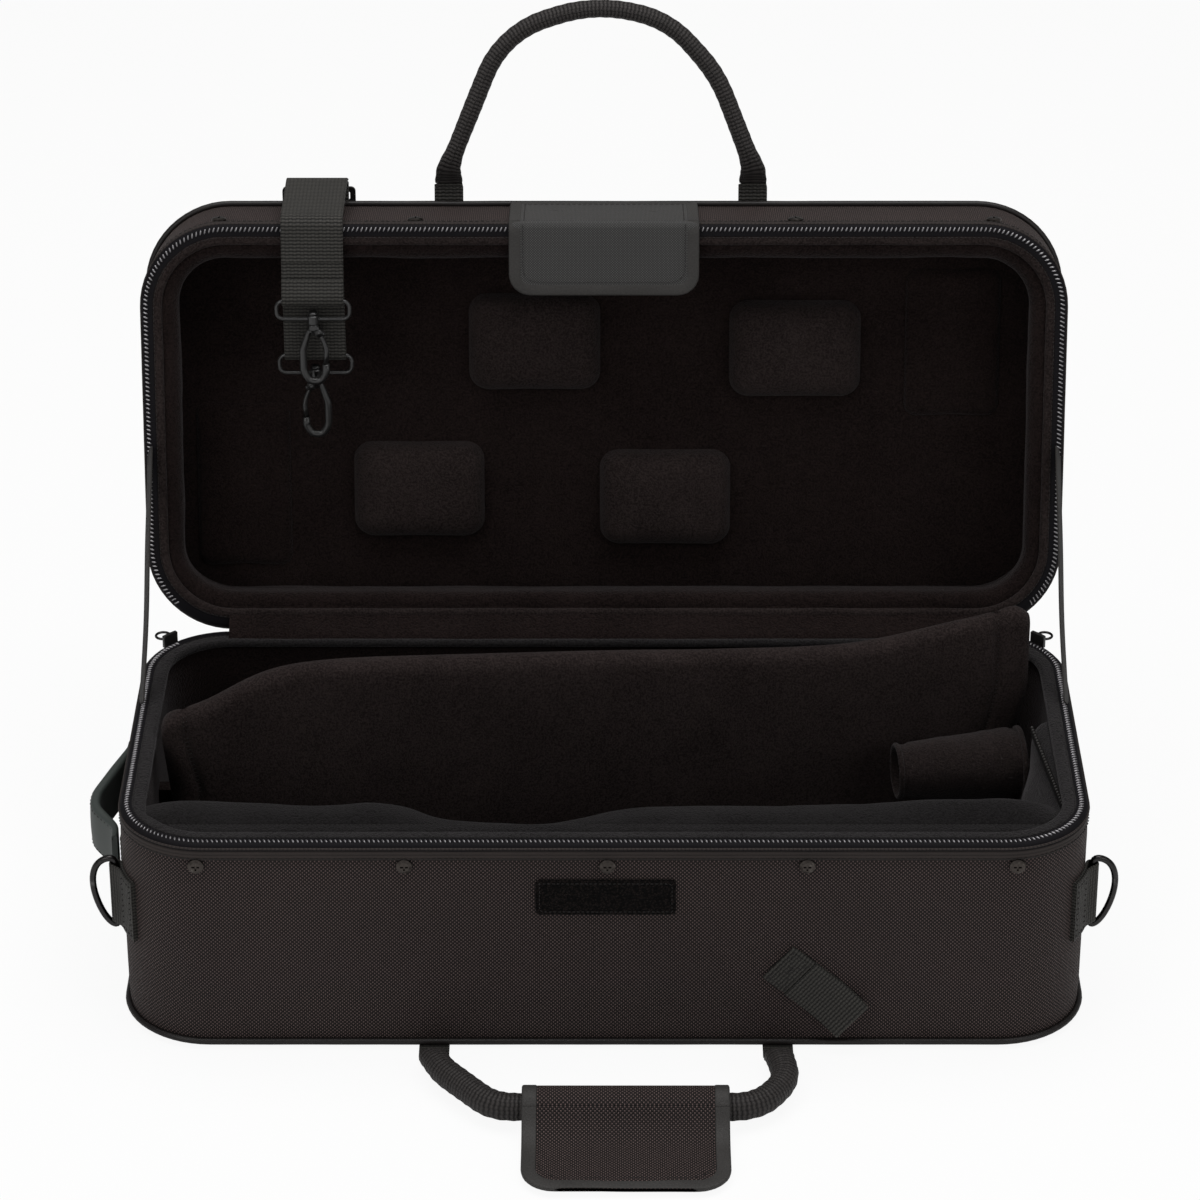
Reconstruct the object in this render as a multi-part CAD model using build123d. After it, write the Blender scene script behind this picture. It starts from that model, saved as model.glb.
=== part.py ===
from build123d import *
import math
import os

# Soft-sided trumpet case, open, standing on its bottom panel. Millimetres.
# X is to the right, Y to the back (the hinge side), Z up. The origin is the middle of the
# bottom. A half of the case (base or lid) is built "rim up": h is the depth below the rim
# plane and the outer panel lies at h = height. seat_base() and seat_lid() place a half.

# ---- driving dimensions ------------------------------------------------------------------
case_width = 570.0
case_depth = 258.0
base_height = 141.0
lid_height = 66.0
corner_radius = 52.0
edge_round = 6.0
open_angle = 102.0

skin = 1.2
plywood = 4.5
foam = 6.0
layer_gap = 0.2
seat_gap = 0.3
floor_foam = 8.0
lid_foam = 4.8

# rim: tape, zip and binding, measured down from the rim plane
tape_bottom = 9.3
tape_top = 2.6
tape_thickness = 1.1
zip_top = 0.15
zip_bottom = 2.4
zip_proud = 0.6
zip_width = 2.8
band_top = 0.4
band_bottom = 3.0
zip_end_angle = 50.0
piping_radius = 2.0
piping_angle = 12.0

# screws along the front walls
screw_xs = (-237.0, -116.0, 2.0, 118.0, 240.0)
screw_drop = 15.0
screw_head_radius = 4.6
screw_head_height = 2.1
screw_shank_radius = 1.6
screw_hole_clearance = 0.15
screw_slot_width = 1.1
screw_slot_depth = 1.0

# padding
divider_thickness = 16.0
divider_front_left = (-266.0, -8.0)
divider_front_right = (266.0, 62.0)
divider_middle_rise = 39.0
divider_right_rise = 49.0
divider_left_rise = 8.0
divider_edge_round = 5.0
front_pad_thickness = 28.0
front_pad_below_rim = 2.0
front_pad_dip = 11.0
front_pad_round = 6.0
bolster_width = 16.0
bolster_depth = 22.0
bolster_round = 6.5
bolster_start = 2.0
pad_width = 83.0
pad_length = 63.0
pad_height = 11.5
pad_corner = 15.0
pad_taper = 4.0
pad_spots = ((-43.7, 172.7), (120.1, 168.2), (-117.1, 77.0), (38.7, 71.7))
panel_height = 3.5
panel_width = 60.0
right_panel_from_end = 66.0
right_panel_length = 96.0
right_panel_s = 172.0
left_panel_from_end = 57.0
left_panel_length = 108.0
left_panel_s = 80.0

pouch_radius = 22.0
pouch_wall = 5.0
pouch_length = 78.0
pouch_from_end = 69.0
pouch_below_rim = 43.0
pouch_piping = 1.8
side_pad_thickness = 10.0
side_pad_from = -78.0
side_pad_to = 26.0
hook_strip_width = 6.0
hook_strip_thickness = 2.0

# supports in the instrument well
bell_block_length = 46.0
bell_radius = 60.0
bell_block_top = 92.0
valve_block_length = 96.0
valve_block_x = 60.0
valve_block_top = 52.0
valve_slot_width = 34.0
slide_block_length = 40.0
slide_block_top = 70.0
slide_slot_width = 18.0

# hook-and-loop patch, webbing tab
patch_width = 82.0
patch_height = 24.0
patch_x = 1.0
patch_below_rim = 36.0
patch_thickness = 1.5
tab_width = 28.0
tab_length = 58.5
tab_thickness = 3.2
tab_sewn = 18.0
tab_x = 102.0
tab_z = 60.8
tab_angle = 40.5

# D-rings
ring_wire = 2.1
ring_height = 48.0
ring_depth = 23.0
ring_below_rim = 60.0
ring_rest_swing = 35.0
ring_corner_angle = 8.0
ring_tail_angle = 28.0
ring_web_width = 40.0
ring_bend = 3.6
web_thickness = 1.6
ring_clearance = 0.4

# side grip
grip_from_front = 51.0
grip_length = 130.0
grip_anchor = 18.0
grip_standoff = 22.0
grip_height = 30.0
grip_thickness = 6.0
grip_below_rim = 34.0
anchor_thickness = 3.0

# carry handles: rope radius, stub and wrap
base_rope_radius = 8.5
lid_rope_radius = 6.2
stub_width = 28.0
stub_thickness = 2.0
stub_reach = 14.0
root_length = 14.0
root_gap = 0.3
lid_root_xs = (-97.0, 93.0)
base_root_xs = (-100.5, 103.0)
lid_rope_reach = 113.0
base_rope_reach = 52.8
wrap_width = 124.0
wrap_reach = 76.0
wrap_thickness = 2.6
wrap_x = 12.5
wrap_rope_gap = 0.4

# lid flap
flap_width = 116.0
flap_thickness = 2.4
flap_below_edge = 8.0
flap_tongue = 47.0
flap_corner = 9.0
flap_gap = 0.4

# shoulder strap
strap_from_end = 106.0
strap_width = 38.0
strap_thickness = 1.5
strap_gap = 0.2
strap_root_in = 22.0
strap_tail_length = 232.0
strap_rise = 17.0
front_drop = 23.5
rear_drop = 64.5
front_kick = 4.5
loop_wire = 1.3
loop_width = 45.0
loop_height = 12.0
collar_radius = 3.6
collar_height = 6.0
post_radius = 1.8
post_gap = 0.3
post_head_radius = 2.9
hook_wire = 1.9
hook_width = 15.0
hook_length = 35.0
gate_wire = 1.3
gate_eye_radius = 2.7
gate_thickness = 2.2
gate_pin_radius = 0.9
gate_gap = 0.3
slider_wire = 1.6

# zip sliders
slider_angle = 45.0
slider_length = 11.0
slider_thickness = 2.4
slider_height = 8.0
slider_gap = 0.8
crown_radius = 2.2
crown_wire = 0.7
crown_out = 0.7
pull_radius = 4.4
pull_wire = 0.8

# stay ribbons and hinge bands
ribbon_width = 11.0
ribbon_thickness = 0.8
ribbon_base_y = 34.0
ribbon_lid_s = 117.0
ribbon_inset = 3.4
band_width = 18.0
band_start = 2.5
band_thickness = 1.0

# ---- values worked out from them ---------------------------------------------------------
half_width = case_width / 2
half_depth = case_depth / 2
hinge_y = half_depth
front_y = -half_depth
shell_in = skin + layer_gap
shell_out = shell_in + plywood
lining_in = shell_out + layer_gap
lining_out = lining_in + foam
base_floor = lining_in + floor_foam
lid_ceiling = lid_height - lining_in - lid_foam
corner_x = half_width - corner_radius
corner_y = half_depth - corner_radius
zip_end_y = corner_y + corner_radius * math.sin(math.radians(zip_end_angle))
lid_screw_xs = [x for x in screw_xs if abs(x) > flap_width / 2]
flap_upper = lid_height - flap_below_edge
front_pad_top = base_height - front_pad_below_rim
divider_middle_top = base_height + divider_middle_rise
divider_right_top = base_height + divider_right_rise
divider_left_top = base_height + divider_left_rise
pouch_x = half_width - pouch_from_end
pouch_z = base_height - pouch_below_rim
patch_z = base_height - patch_below_rim
ring_z = base_height - ring_below_rim
grip_z = base_height - grip_below_rim
grip_front_y = front_y + grip_from_front
grip_back_y = grip_front_y + grip_length
strap_x = strap_from_end - half_width
strap_root_y = front_y + strap_root_in
wrap_y = front_y - stub_reach - root_gap / 2 - base_rope_reach


# ---- shared helpers ----------------------------------------------------------------------
def plan(inset):
    """Outline of the case drawn in by inset."""
    return RectangleRounded(case_width - 2 * inset, case_depth - 2 * inset, corner_radius - inset)


def slab(inset, low, high):
    return Pos(0, 0, low) * extrude(plan(inset), high - low)


def ring(outer, inner, low, high):
    return slab(outer, low, high) - slab(inner, low - 1, high + 1)


def box(x0, x1, y0, y1, z0, z1):
    """Box between two corners."""
    middle = Pos((x0 + x1) / 2, (y0 + y1) / 2, (z0 + z1) / 2)
    return middle * Box(abs(x1 - x0), abs(y1 - y0), abs(z1 - z0))


def rod(start, end, radius):
    """Round bar from one point to another."""
    axis = Vector(*end) - Vector(*start)
    return extrude(Plane(origin=start, z_dir=axis) * Circle(radius), axis.length)


def wire_along(points, radii, radius, close=False):
    """Round wire bent along straight runs and tangent arcs."""
    path = FilletPolyline(*points, radius=radii, close=close).wire()
    section = Plane(origin=path @ 0, z_dir=path % 0) * Circle(radius)
    return sweep(section, path)


def webbing(points, radii, width, thickness):
    """Flat webbing, width along X, folded along a path in a plane across X."""
    path = FilletPolyline(*points, radius=radii).wire()
    section = Plane(origin=path @ 0, x_dir=(1, 0, 0), z_dir=path % 0)
    return sweep(section * Rectangle(width, thickness), path)


def group(shapes):
    """Separate solids kept together as one node."""
    return Compound(children=[solid for shape in shapes for solid in shape.solids()])


def flip(shape, plane):
    """Mirror image of every solid of a shape."""
    images = [mirror(solid, about=plane) for solid in shape.solids()]
    return images[0] if len(images) == 1 else group(images)


def seat_base(shape):
    """Put a rim-up half of the base in place."""
    return Pos(0, 0, base_height) * flip(shape, Plane.XY)


def seat_lid(shape):
    """Put a rim-up half of the lid on the hinge, at the angle it rests open."""
    return Pos(0, hinge_y, base_height) * Rot(-open_angle, 0, 0) * Pos(0, -hinge_y, 0) * shape


def lid_point(x, y, h):
    """World place of a point given in the lid's own rim-up frame."""
    turn = math.radians(-open_angle)
    run = y - hinge_y
    back = run * math.cos(turn) - h * math.sin(turn)
    up = run * math.sin(turn) + h * math.cos(turn)
    return (x, hinge_y + back, base_height + up)


def both_sides(shape):
    """The same piece on the left and on the right."""
    return group([flip(shape, Plane.YZ), shape])


# ---- one half of the case ----------------------------------------------------------------
def rounded_block(inset, height, round_radius):
    """Half blank whose outer edges are rounded; the rim is at h = 0."""
    block = slab(inset, 0, height - inset)
    return fillet(block.edges().group_by(Axis.Z)[-1], round_radius)


def screw_holes(xs):
    """Drills for the front screws, slightly wider than the shanks."""
    radius = screw_shank_radius + screw_hole_clearance
    drills = [
        rod((x, front_y - 1, screw_drop), (x, front_y + shell_out + 1, screw_drop), radius)
        for x in xs
    ]
    return drills[0] + drills[1:]


def half_skin(height):
    """Nylon skin of a half, before it is split into panel and side."""
    return rounded_block(0, height, edge_round) - rounded_block(skin, height, edge_round - skin)


def outer_panel(height):
    """Nylon outer panel with its rolled edge."""
    cut = box(-case_width, case_width, -case_depth, case_depth, -1, height - edge_round)
    return half_skin(height) - cut


def side_cover(height, xs):
    """Nylon round the walls, from the rim tape to the seam under the piping."""
    walls = ring(0, skin, tape_bottom, height - edge_round)
    return walls - screw_holes(xs)


def shell(height, xs):
    """Plywood tray under the skin."""
    outer = rounded_block(shell_in, height, edge_round - shell_in)
    hollow = slab(shell_out, -1, height - shell_out)
    rim_cut = slab(-1, -1, band_bottom + layer_gap)
    return outer - hollow - rim_cut - screw_holes(xs)


def edge_piping(height):
    """Corded piping round the seam between the outer panel and the side."""
    reach = edge_round + piping_radius + layer_gap / 2
    out = reach * math.cos(math.radians(piping_angle)) - edge_round
    drop = reach * math.sin(math.radians(piping_angle))
    level = height - edge_round + drop
    path = (Pos(0, 0, level) * plan(-out)).wire()
    return sweep(Plane(origin=path @ 0, z_dir=path % 0) * Circle(piping_radius), path)


def rim_tape():
    """Knitted tape sewn round the rim."""
    return ring(0, tape_thickness, tape_top, tape_bottom)


def zip_chain():
    """Envelope of one row of zip teeth round the front and sides."""
    whole = ring(-zip_proud, zip_width - zip_proud, zip_top, zip_bottom)
    return whole - box(-case_width, case_width, zip_end_y, case_depth, -5, 10)


def rim_band():
    """Padded binding that covers the plywood's rim inside the zip."""
    band = ring(zip_width - zip_proud + layer_gap, lining_out, band_top, band_bottom)
    return fillet(band.edges().group_by(Axis.Z)[0], 1.0)


def front_screws(xs):
    """Pan-head screws with crossed slots, heads against the front cover."""
    screws = []
    for x in xs:
        crown = screw_head_height / 2.5
        head = rod((x, front_y, screw_drop), (x, front_y - screw_head_height, screw_drop), screw_head_radius)
        head = chamfer(head.edges().group_by(Axis.Y)[0], crown, 2 * crown)
        slot = box(-screw_head_radius / 2, screw_head_radius / 2, -screw_slot_depth, screw_slot_depth,
                   -screw_slot_width / 2, screw_slot_width / 2)
        cross = slot + Rot(0, 90, 0) * slot
        head = head - Pos(x, front_y - screw_head_height, screw_drop) * cross
        shank = rod((x, front_y, screw_drop), (x, front_y + shell_out - layer_gap, screw_drop),
                    screw_shank_radius)
        screws.append(head + shank)
    return group(screws)


# ---- linings and padding -----------------------------------------------------------------
def base_wall_lining():
    """Plush-covered foam on the base's walls."""
    return ring(lining_in, lining_out, band_bottom + layer_gap, base_height - lining_in)


def base_floor_pad():
    """Foam floor of the base, inside the wall lining."""
    return slab(lining_out + seat_gap, lining_in, base_floor)


def lid_wall_lining():
    """Plush-covered foam on the lid's walls, behind the bolster."""
    start = bolster_start + bolster_depth + seat_gap
    return ring(lining_in, lining_out, start, lid_ceiling - layer_gap)


def lid_ceiling_lining():
    """Plush-covered foam panel across the lid."""
    return slab(lining_in, lid_ceiling, lid_height - lining_in)


def lid_bolster():
    """Rolled bolster round the inside of the lid's rim."""
    start = band_bottom + layer_gap
    roll = ring(lining_in, lining_in + bolster_width, start, bolster_start + bolster_depth)
    return fillet(roll.edges().group_by(Axis.Z)[0] + roll.edges().group_by(Axis.Z)[-1], bolster_round)


def crowned_pad(width, length, height, corner, taper):
    """Sewn pad: full round plan at the bottom, drawn in towards a crowned top."""
    waist = RectangleRounded(width, length, corner)
    shoulder = RectangleRounded(width - taper, length - taper, corner - taper / 2)
    top = RectangleRounded(width - 3 * taper, length - 3 * taper, corner - 1.5 * taper)
    body = loft([waist, Pos(0, 0, height * 0.62) * shoulder], ruled=True)
    crown = loft([Pos(0, 0, height * 0.62) * shoulder, Pos(0, 0, height) * top], ruled=True)
    return body + crown


def lid_pads():
    """Four pads on the lid's ceiling that press on the instrument."""
    pads = []
    for x, s in pad_spots:
        pad = crowned_pad(pad_width, pad_length, pad_height, pad_corner, pad_taper)
        pads.append(Pos(x, hinge_y - s, lid_ceiling) * mirror(pad, about=Plane.XY))
    return group(pads)


def lid_panels():
    """Two thin panels at the lid's ends."""
    spots = ((half_width - right_panel_from_end, right_panel_s, right_panel_length),
             (left_panel_from_end - half_width, left_panel_s, left_panel_length))
    panels = []
    for x, s, length in spots:
        plate = extrude(RectangleRounded(panel_width, length, 8), panel_height)
        plate = chamfer(plate.edges().group_by(Axis.Z)[0], panel_height / 2)
        panels.append(Pos(x, hinge_y - s, lid_ceiling - panel_height) * plate)
    return group(panels)


def divider_slant():
    """Angle of the divider from the X axis, in degrees."""
    x0, y0 = divider_front_left
    x1, y1 = divider_front_right
    return math.degrees(math.atan2(y1 - y0, x1 - x0))


def divider():
    """Padded divider between the instrument well and the accessory space."""
    x0, y0 = divider_front_left
    x1, y1 = divider_front_right
    half = math.hypot(x1 - x0, y1 - y0) / 2
    shoulder = half_width - lining_in - bolster_width - 2 * seat_gap
    rim_low = base_height - band_bottom - layer_gap - seat_gap
    low = base_floor + seat_gap
    bends = (
        (-shoulder, divider_left_top - 2, 7.0), (-shoulder + 112, divider_middle_top + 1, 110.0),
        (shoulder - 190, divider_middle_top - 2, 500.0), (shoulder - 8, divider_right_top, 26.0),
    )
    crest = [(x, z) for x, z, _ in bends]
    outline = Polyline(
        (-half - 20, low), (-half - 20, rim_low), (-shoulder, rim_low), *crest,
        (shoulder, rim_low), (half + 20, rim_low), (half + 20, low), close=True,
    )
    face = make_face(outline)
    for x, z, radius in bends:
        face = fillet(face.vertices().sort_by_distance((x, z, 0))[0], radius)
    panel = extrude(Plane.XZ * face, -divider_thickness)
    upper = panel.edges().filter_by(lambda e: e.center().Z > rim_low + 4)
    panel = fillet(upper, divider_edge_round)
    panel = Pos(0, (y0 + y1) / 2, 0) * Rot(0, 0, divider_slant()) * panel
    return panel & slab(lining_out + seat_gap, 0, base_height + lid_height)


def front_pad():
    """Wavy-topped cushion along the front wall."""
    back = front_y + lining_out + seat_gap + front_pad_thickness
    inner = half_width - lining_out - seat_gap
    low = base_floor + seat_gap
    dip = front_pad_top - front_pad_dip
    outline = Polyline(
        (-inner, low), (-inner, front_pad_top), (-135, front_pad_top), (-80, dip),
        (-20, dip), (25, front_pad_top), (inner - 20, front_pad_top), (inner, front_pad_top - 8),
        (inner, low), close=True,
    )
    face = make_face(outline)
    bends = face.vertices().filter_by(lambda v: v.Y > low + 1 and abs(v.X) < inner - 1)
    face = fillet(bends, 30.0)
    pad = extrude(Plane(origin=(0, back, 0), x_dir=(1, 0, 0), z_dir=(0, -1, 0)) * face, front_pad_thickness)
    rear_top = pad.edges().filter_by(lambda e: e.center().Y > back - 0.1 and e.center().Z > low + 30)
    rear_top = [e for e in rear_top if abs(e.center().X) < inner - 1]
    pad = fillet(rear_top, front_pad_round)
    return pad & slab(lining_out + seat_gap, 0, base_height)


def divider_front(x):
    """Y of the divider's front face at a given X."""
    x0, y0 = divider_front_left
    x1, y1 = divider_front_right
    return y0 + (x - x0) * (y1 - y0) / (x1 - x0)


def divider_back(x):
    """Y of the divider's back face at a given X."""
    x0, y0 = divider_front_left
    x1, y1 = divider_front_right
    return divider_front(x) + divider_thickness * math.hypot(1, (y1 - y0) / (x1 - x0))


def pouch_place():
    """Where the pouch's middle lies: along the divider's front face."""
    slant = divider_slant()
    off = (pouch_radius + pouch_piping + seat_gap) / math.cos(math.radians(slant))
    return Pos(pouch_x, divider_front(pouch_x) - off, pouch_z) * Rot(0, 0, slant)


def mouthpiece_pouch():
    """Fleece tube for a mouthpiece, sewn to the divider, closed at its right end."""
    half = pouch_length / 2
    tube = rod((-half, 0, 0), (half, 0, 0), pouch_radius)
    bore = rod((-half - 1, 0, 0), (half - pouch_wall, 0, 0), pouch_radius - pouch_wall)
    rims = None
    for x in (-half + pouch_piping, half - pouch_piping):
        hoop = Plane(origin=(x, 0, 0), z_dir=(1, 0, 0)) * Torus(pouch_radius - 0.2, pouch_piping)
        rims = hoop if rims is None else rims + hoop
    return pouch_place() * (tube + rims - bore)


def side_pad():
    """Pad against the right wall, beside the accessory space."""
    right = half_width - lining_out - seat_gap
    top = base_height - band_bottom - layer_gap - seat_gap
    pad = box(right - side_pad_thickness, right, side_pad_from, side_pad_to, base_floor + seat_gap, top)
    return fillet(pad.edges().group_by(Axis.Z)[-1] + pad.edges().group_by(Axis.X)[0].filter_by(Axis.Z), 3)


def side_pad_strip():
    """Toothed hook strip along the pad's inner upper edge."""
    right = half_width - lining_out - seat_gap
    face_x = right - side_pad_thickness - seat_gap
    top = base_height - band_bottom - layer_gap - seat_gap - 4
    return box(face_x - hook_strip_thickness, face_x, side_pad_from + 6, side_pad_to - 6,
               top - hook_strip_width, top)


# ---- supports in the instrument well -----------------------------------------------------
def well_back():
    return half_depth - lining_out - seat_gap


def bell_block():
    """Foam cradle at the wide end of the well, hollowed for the bell."""
    left = -half_width + lining_out + seat_gap
    right = left + bell_block_length
    front = divider_back(right) + seat_gap
    block = box(left, right, front, well_back(), base_floor + seat_gap, bell_block_top)
    middle = (front + well_back()) / 2
    axis_z = base_floor + bell_radius + 10
    radius = min(bell_radius, (well_back() - front) / 2 - 10)
    cut = rod((left - 1, middle, axis_z), (right + 1, middle, axis_z), radius)
    above = box(left - 1, right + 1, middle - radius, middle + radius, axis_z, bell_block_top + 1)
    return (block - cut - above) & slab(lining_out + seat_gap, 0, base_height)


def slotted_block(x, length, top, slot):
    """Foam block across the well with a slot along X."""
    left = x - length / 2
    right = x + length / 2
    front = divider_back(right) + seat_gap
    block = box(left, right, front, well_back(), base_floor + seat_gap, top)
    middle = (front + well_back()) / 2
    low = base_floor + 12
    groove = box(left - 1, right + 1, middle - slot / 2, middle + slot / 2, low + slot / 2, top + 1)
    groove = groove + rod((left - 1, middle, low + slot / 2), (right + 1, middle, low + slot / 2), slot / 2)
    return (block - groove) & slab(lining_out + seat_gap, 0, base_height)


def valve_block():
    return slotted_block(valve_block_x, valve_block_length, valve_block_top, valve_slot_width)


def slide_block():
    x = half_width - lining_out - seat_gap - slide_block_length / 2
    return slotted_block(x, slide_block_length, slide_block_top, slide_slot_width)


# ---- things on the outside ---------------------------------------------------------------
def loop_patch():
    """Hook-and-loop patch on the front."""
    plate = RectangleRounded(patch_width, patch_height, 2)
    frame = Plane(origin=(patch_x, front_y, patch_z), x_dir=(1, 0, 0), z_dir=(0, -1, 0))
    return extrude(frame * plate, patch_thickness)


def tab_frame():
    """Work plane on the front: x along the tab, z out of the wall."""
    turn = math.radians(tab_angle)
    return Plane(origin=(tab_x, front_y, tab_z), x_dir=(math.cos(turn), 0, -math.sin(turn)), z_dir=(0, -1, 0))


def tab_sewn_end():
    """End of the webbing tab that is box-stitched to the front."""
    return extrude(tab_frame() * Pos(tab_sewn / 2, 0) * Rectangle(tab_sewn, tab_width), tab_thickness)


def tab_free_end():
    """Free end of the webbing tab, folded over at its tip."""
    run = tab_length - tab_sewn - seat_gap
    strip = extrude(Pos(tab_sewn + seat_gap + run / 2, 0) * Rectangle(run, tab_width), tab_thickness - 0.4)
    tip = Pos(tab_length - 7, 0, 0) * extrude(Rectangle(14, tab_width), tab_thickness)
    return tab_frame() * (Pos(0, 0, 0.2) * (strip + tip))


def tab_axis_point():
    frame = tab_frame()
    return frame.from_local_coords((tab_sewn + seat_gap / 2, 0, tab_thickness + 2 * seat_gap))


def ring_axis_radius():
    """Distance of a D-ring's bar from the corner's centre."""
    return corner_radius + ring_wire + ring_clearance + web_thickness + 0.2


def ring_axis_place():
    """X and Y of the right D-ring's bar."""
    turn = math.radians(ring_corner_angle)
    reach = ring_axis_radius()
    return (corner_x + reach * math.cos(turn), -corner_y - reach * math.sin(turn))


def ring_webbing():
    """Webbing folded round the right D-ring's bar and sewn round the corner."""
    sleeve = ring_wire + ring_clearance
    bar_x, bar_y = ring_axis_place()
    centre = Pos(corner_x, -corner_y)
    tail = Circle(corner_radius + 2 * web_thickness) - Circle(corner_radius)
    start = math.radians(-ring_corner_angle)
    end = math.radians(-ring_corner_angle - ring_tail_angle)
    far = corner_radius * 2
    wedge = make_face(Polyline((0, 0), (far * math.cos(start), far * math.sin(start)),
                               (far * math.cos(end), far * math.sin(end)), close=True))
    profile = centre * (tail & wedge) + Pos(bar_x, bar_y) * Circle(sleeve + web_thickness)
    profile = profile - Pos(bar_x, bar_y) * Circle(sleeve)
    profile = profile - centre * Circle(corner_radius)
    return Pos(0, 0, ring_z - ring_web_width / 2) * extrude(profile, ring_web_width)


def d_ring():
    """Right D-ring: straight bar in the webbing, swung forward as it hangs."""
    half = ring_height / 2
    points = ((0, 0, -half), (0, 0, half), (ring_depth * 0.5, 0, half), (ring_depth, 0, half * 0.42),
              (ring_depth, 0, -half * 0.42), (ring_depth * 0.5, 0, -half))
    wire = wire_along(points, [ring_bend, ring_bend, 9, 9, 9, 9], ring_wire, close=True)
    bar_x, bar_y = ring_axis_place()
    return Pos(bar_x, bar_y, ring_z) * Rot(0, 0, -ring_rest_swing) * wire


def side_grip():
    """Padded arched grip on the left end."""
    wall = -half_width - anchor_thickness - seat_gap
    out = -half_width - grip_standoff + grip_thickness / 2
    near = wall - grip_thickness / 2
    points = ((near, grip_back_y - 2, grip_z), (near, grip_back_y - 14, grip_z),
              (out, grip_back_y - 44, grip_z), (out, grip_front_y + 40, grip_z),
              (near, grip_front_y + 14, grip_z), (near, grip_front_y + 2, grip_z))
    path = FilletPolyline(*points, radius=[16, 24, 24, 16]).wire()
    section = Plane(origin=path @ 0, x_dir=(0, 0, 1), z_dir=path % 0)
    grip = sweep(section * RectangleRounded(grip_height, grip_thickness, 2.2), path)
    return grip


def grip_anchors():
    """Webbing squares that hold the side grip's ends to the wall."""
    wall = -half_width
    low = grip_z - grip_height / 2
    high = grip_z + grip_height / 2
    back = box(wall - anchor_thickness, wall, grip_back_y - grip_anchor, grip_back_y, low, high)
    front = box(wall - anchor_thickness, wall, grip_front_y, grip_front_y + grip_anchor, low, high)
    return group([back, front])


# ---- carry handles -----------------------------------------------------------------------
def stub(x):
    """Flat webbing end sewn into the seam; z is measured from the outer panel's face."""
    low = 0.1
    strip = box(x - stub_width / 2, x + stub_width / 2, front_y - stub_reach, front_y + edge_round,
                low, low + stub_thickness)
    blank = Pos(0, 0, 100) * mirror(rounded_block(-layer_gap / 2, 100, edge_round), about=Plane.XY)
    return strip - blank


def handle_axis_y():
    return front_y - stub_reach - root_gap / 2


def handle_axis_z():
    return 0.1 + stub_thickness + 3 * root_gap


def rope_handle(points, radii, radius, level):
    """Webbing rope from one flat root to the other; z is measured from the panel's face."""
    path = [(x, y, level) for x, y in points]
    rope = wire_along(path, radii, radius)
    roots = None
    for end, nxt in ((points[0], points[1]), (points[-1], points[-2])):
        x, y = end
        flat = Plane(origin=(x, handle_axis_y() - root_gap / 2, root_gap + 1.3), x_dir=(1, 0, 0),
                     z_dir=(0, -1, 0))
        slant = Vector(nxt[0] - x, nxt[1] - y, 0)
        round_end = Plane(origin=(x, y, level), z_dir=slant)
        root = loft([flat * RectangleRounded(stub_width, 2.4, 1.1), round_end * Circle(radius)])
        roots = root if roots is None else roots + root
    return rope + roots


def base_rope_points():
    y = handle_axis_y()
    left_x, right_x = base_root_xs
    span = right_x - left_x
    run = base_rope_reach - root_length
    return ((left_x, y - root_length), (left_x + 0.04 * span, y - root_length - 0.31 * run),
            (left_x + 0.18 * span, wrap_y), (right_x - 0.07 * span, wrap_y),
            (right_x + 0.025 * span, y - root_length - 0.46 * run), (right_x, y - root_length))


def base_handle_level():
    return base_rope_radius + wrap_rope_gap + wrap_thickness + seat_gap


def base_rope():
    """Rope handle of the base, lying on the ground in front."""
    return rope_handle(base_rope_points(), [24, 24, 16, 18], base_rope_radius, base_handle_level())


def hand_wrap():
    """Lower leaf of the hand wrap with the sleeve round the rope."""
    level = base_handle_level()
    inner = base_rope_radius + wrap_rope_gap
    outer = inner + wrap_thickness
    low = level - outer
    sleeve = Circle(outer)
    leaf = Pos(-wrap_reach / 2, low - level + wrap_thickness / 2) * Rectangle(wrap_reach, wrap_thickness)
    profile = sleeve + leaf - Circle(inner)
    frame = Plane(origin=(wrap_x - wrap_width / 2, wrap_y, level), x_dir=(0, 1, 0), z_dir=(1, 0, 0))
    return extrude(frame * profile, wrap_width)


def wrap_leaf():
    """Upper leaf of the hand wrap, which opens to free the ropes."""
    level = base_handle_level()
    outer = base_rope_radius + wrap_rope_gap + wrap_thickness
    low = level - outer + wrap_thickness + seat_gap
    start = wrap_y - outer - seat_gap
    plate = box(wrap_x - wrap_width / 2, wrap_x + wrap_width / 2, wrap_y - wrap_reach, start,
                low, low + wrap_thickness)
    return fillet(plate.edges().filter_by(Axis.Z).group_by(Axis.Y)[0], flap_corner)


def lid_rope():
    """Rope handle of the lid, in the lid's rim-up frame."""
    y = handle_axis_y()
    left_x, right_x = lid_root_xs
    span = right_x - left_x
    reach = lid_rope_reach
    points = ((left_x, y - 0.09 * reach), (left_x + 0.18 * span, y - 0.84 * reach),
              (left_x + 0.48 * span, y - reach), (left_x + 0.72 * span, y - 0.91 * reach),
              (right_x - 0.12 * span, y - 0.61 * reach), (right_x, y - 0.09 * reach))
    level = lid_rope_radius + seat_gap
    rope = rope_handle(points, [60, 90, 60, 90], lid_rope_radius, level)
    return Pos(0, 0, lid_height) * mirror(rope, about=Plane.XY)


def base_stubs():
    return group([stub(x) for x in base_root_xs])


def lid_stubs():
    return group([Pos(0, 0, lid_height) * mirror(stub(x), about=Plane.XY) for x in lid_root_xs])


# ---- lid flap ----------------------------------------------------------------------------
def flap_face():
    """Y of the flap's inner face, just clear of the zip."""
    return front_y - zip_proud - layer_gap


def flap_hinge():
    """Y and h of the flap's fold in the lid's rim-up frame."""
    return (flap_face() - flap_thickness - 2 * flap_gap, -3 * flap_gap)


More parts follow.
